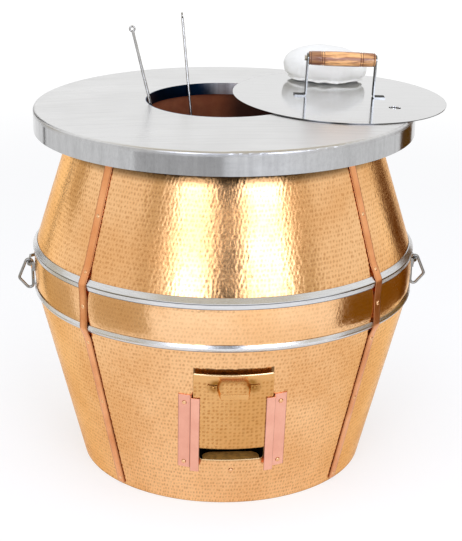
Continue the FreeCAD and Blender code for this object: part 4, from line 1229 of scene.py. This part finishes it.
def grip_radius(x):
    """Radius in millimetres at x from the grip's middle."""
    radius = GRIP_RADIUS - GRIP_TAPER * (x / GRIP_HALF) ** 2 - GROOVE_DEPTH * sum(groove_shape(x))
    return radius - ROUNDED_BY * max(0.0, (abs(x) - GRIP_HALF + ROUNDED) / ROUNDED) ** 2


stations = [-GRIP_HALF + GRIP_STEP * i for i in range(int(2 * GRIP_HALF / GRIP_STEP) + 1)]
grip_outline = [(x, grip_radius(x)) for x in stations]
print("grip outline:", len(grip_outline), "points")

# %% [markdown]
# ## Turned grip
# The mesh is the outline carried round the X axis, as a lathe does it. The grooves are marked at its points,
# so that the finish can darken them. One turn and one shift then lay the grip between its legs.


# %% Turned grip
def turned(name, outline, sides, finish):
    """A closed mesh from an outline of (x, radius) points turned round the X axis."""
    work = bmesh.new()
    poles = [work.verts.new((x * MM, 0, 0)) for x in (outline[0][0], outline[-1][0])]
    circle = [math.tau * i / sides for i in range(sides)]
    rings = []
    for x, radius in outline:
        spots = [Vector((x, radius * math.cos(t), radius * math.sin(t))) * MM for t in circle]
        rings.append([work.verts.new(spot) for spot in spots])
    for i in range(sides):
        j = (i + 1) % sides
        work.faces.new((poles[0], rings[0][i], rings[0][j]))
        work.faces.new((poles[1], rings[-1][j], rings[-1][i]))
        for low, high in zip(rings, rings[1:]):
            work.faces.new((low[i], high[i], high[j], low[j]))
    bmesh.ops.recalc_face_normals(work, faces=work.faces)
    mesh = bpy.data.meshes.new(name)
    work.to_mesh(mesh)
    work.free()
    mesh.materials.append(finish)
    mesh.shade_smooth()
    mesh.set_sharp_from_angle(angle=math.radians(50))
    return mesh


def mark_grooves(mesh):
    marks = mesh.attributes.new("groove", "FLOAT", "POINT")
    depths = [max(groove_shape(vertex.co.x / MM)) for vertex in mesh.vertices]
    marks.data.foreach_set("value", depths)


grip = turned("turned_grip", grip_outline, sides=56, finish=wood)
mark_grooves(grip)
lay = Vector((1, 0, 0)).rotation_difference(GRIP_AXIS).to_matrix().to_4x4()
grip.transform(Matrix.Translation(GRIP_MIDDLE * MM) @ lay)
new_piece("turned_grip", grip, "grip", "wood", ["lid_grip"])
print("grip faces:", len(grip.polygons))

# %% [markdown]
# ## Bread pad
# The pad is a cotton bag stuffed tight. A smaller copy of the CAD form is remeshed into even cells and
# blown up by the cloth solver with a little pressure, which rounds it the way filling does. Afterwards the
# underside is pressed flat on the lid, and the sewn hem is pushed out and gathered round the foot.

# %% Stuffing the pad
MOST_TRAVEL = 0.009  # how far the pressure may push a point
PAD_MIDDLE = Vector((-0.011, 0.164, 0.030))  # in the lid's own frame
PAD_CELL, PAD_FRAMES = 0.005, 20
lid_turn = Matrix.Rotation(math.radians(2.454), 4, Vector((0.5, 0.866, 0)))
lid_frame = Matrix.Translation(LID_MIDDLE) @ lid_turn
shrink = Matrix.Diagonal((0.97, 0.97, 0.92, 1.0))
pad_mesh = nodes["pad"].data.copy()
pad_mesh.name = "stuffed_pad"
pad_mesh.transform(lid_frame.inverted())
pad_mesh.transform(Matrix.Translation(PAD_MIDDLE) @ shrink @ Matrix.Translation(-PAD_MIDDLE))
pad_mesh.materials.clear()


def even_cells(holder):
    modifier = holder.modifiers.new("cells", "REMESH")
    modifier.mode = "VOXEL"
    modifier.voxel_size = PAD_CELL


def inflated(mesh):
    """The mesh after some frames of cloth under pressure, with no point moved further than MOST_TRAVEL."""
    bag = bpy.data.objects.new("bag", mesh)
    scene.collection.objects.link(bag)
    cloth = bag.modifiers.new("cloth", "CLOTH")
    cloth.settings.use_pressure = True
    cloth.settings.uniform_pressure_force = 4.0
    cloth.settings.effector_weights.gravity = 0.0
    cloth.settings.quality = 8
    start = [v.co.copy() for v in mesh.vertices]
    for frame_number in range(1, PAD_FRAMES + 1):
        scene.frame_set(frame_number)
    blown = bpy.data.meshes.new_from_object(bag.evaluated_get(bpy.context.evaluated_depsgraph_get()))
    scene.frame_set(1)
    bpy.data.objects.remove(bag)
    for vertex, before in zip(blown.vertices, start):
        travel = vertex.co - before
        if travel.length > MOST_TRAVEL:
            vertex.co = before + travel.normalized() * MOST_TRAVEL
    return blown


def finer(holder):
    modifier = holder.modifiers.new("finer", "SUBSURF")
    modifier.levels = modifier.render_levels = 1


pad_mesh = evaluated(pad_mesh, even_cells)
pad_mesh = inflated(pad_mesh)
pad_mesh = evaluated(pad_mesh, finer)
print("stuffed pad:", len(pad_mesh.vertices), "points")

# %% [markdown]
# ## Hem and folds of the pad
# A stuffed bag isn't smooth: its seam stands out near the foot, is drawn in above it and gathers all
# round. These are small moves of each point, worked out from its height and its direction from the
# middle, which is easier to steer than sewing the bag in the cloth solver.

# %% Hem and folds of the pad
PAD_FLOOR = 0.0018  # the pad's underside, above the lid's own
HEM_RISE, HEM_WIDTH, HEM_OUT, HEM_LIFT = 0.0035, 0.0032, 0.0062, 0.0014
CREASE_RISE, CREASE_WIDTH, CREASE_IN = 0.0105, 0.0035, 0.0022
GATHERS, GATHER_REACH, GATHER_OUT = 19, 0.02, 0.0012
FOLD_SCALE, FOLD_OUT = 26, 0.0022
TOWARDS_FRONT = 0.018  # how much nearer the pad lies than its CAD form, as in the photo


def ridge(rise, middle, width):
    return math.exp(-((rise - middle) / width) ** 2)


# Sines of odd multiples of the angle, one inside the other, keep the gathers and waves uneven.
for vertex in pad_mesh.vertices:
    spread = vertex.co - PAD_MIDDLE
    angle = math.atan2(spread.y, spread.x)
    rise = max(0.0, vertex.co.z - PAD_FLOOR)
    hem = ridge(rise, HEM_RISE, HEM_WIDTH)
    crease = ridge(rise, CREASE_RISE, CREASE_WIDTH)
    gather = math.sin(angle * GATHERS + 2 * math.sin(angle * 5)) * math.exp(-rise / GATHER_REACH)
    fold = noise.noise(Vector((spread.x, spread.y, spread.z * 2)) * FOLD_SCALE)
    flat = Vector((spread.x, spread.y, 0)).normalized()
    vertex.co += flat * (HEM_OUT * hem - CREASE_IN * crease + GATHER_OUT * gather)
    vertex.co += spread.normalized() * (FOLD_OUT * fold)
    wave = 1 + math.sin(angle * 7 + math.sin(angle * 3))
    vertex.co.z = max(vertex.co.z, PAD_FLOOR) + HEM_LIFT * hem * wave
pad_mesh.transform(lid_frame @ Matrix.Translation((0, -TOWARDS_FRONT, 0)))
pad_mesh.materials.append(cotton)
pad_mesh.shade_smooth()
pad = new_piece("stuffed_pad", outward(pad_mesh), "pad", "cotton", ["pad"])
print("pad faces:", len(pad_mesh.polygons))
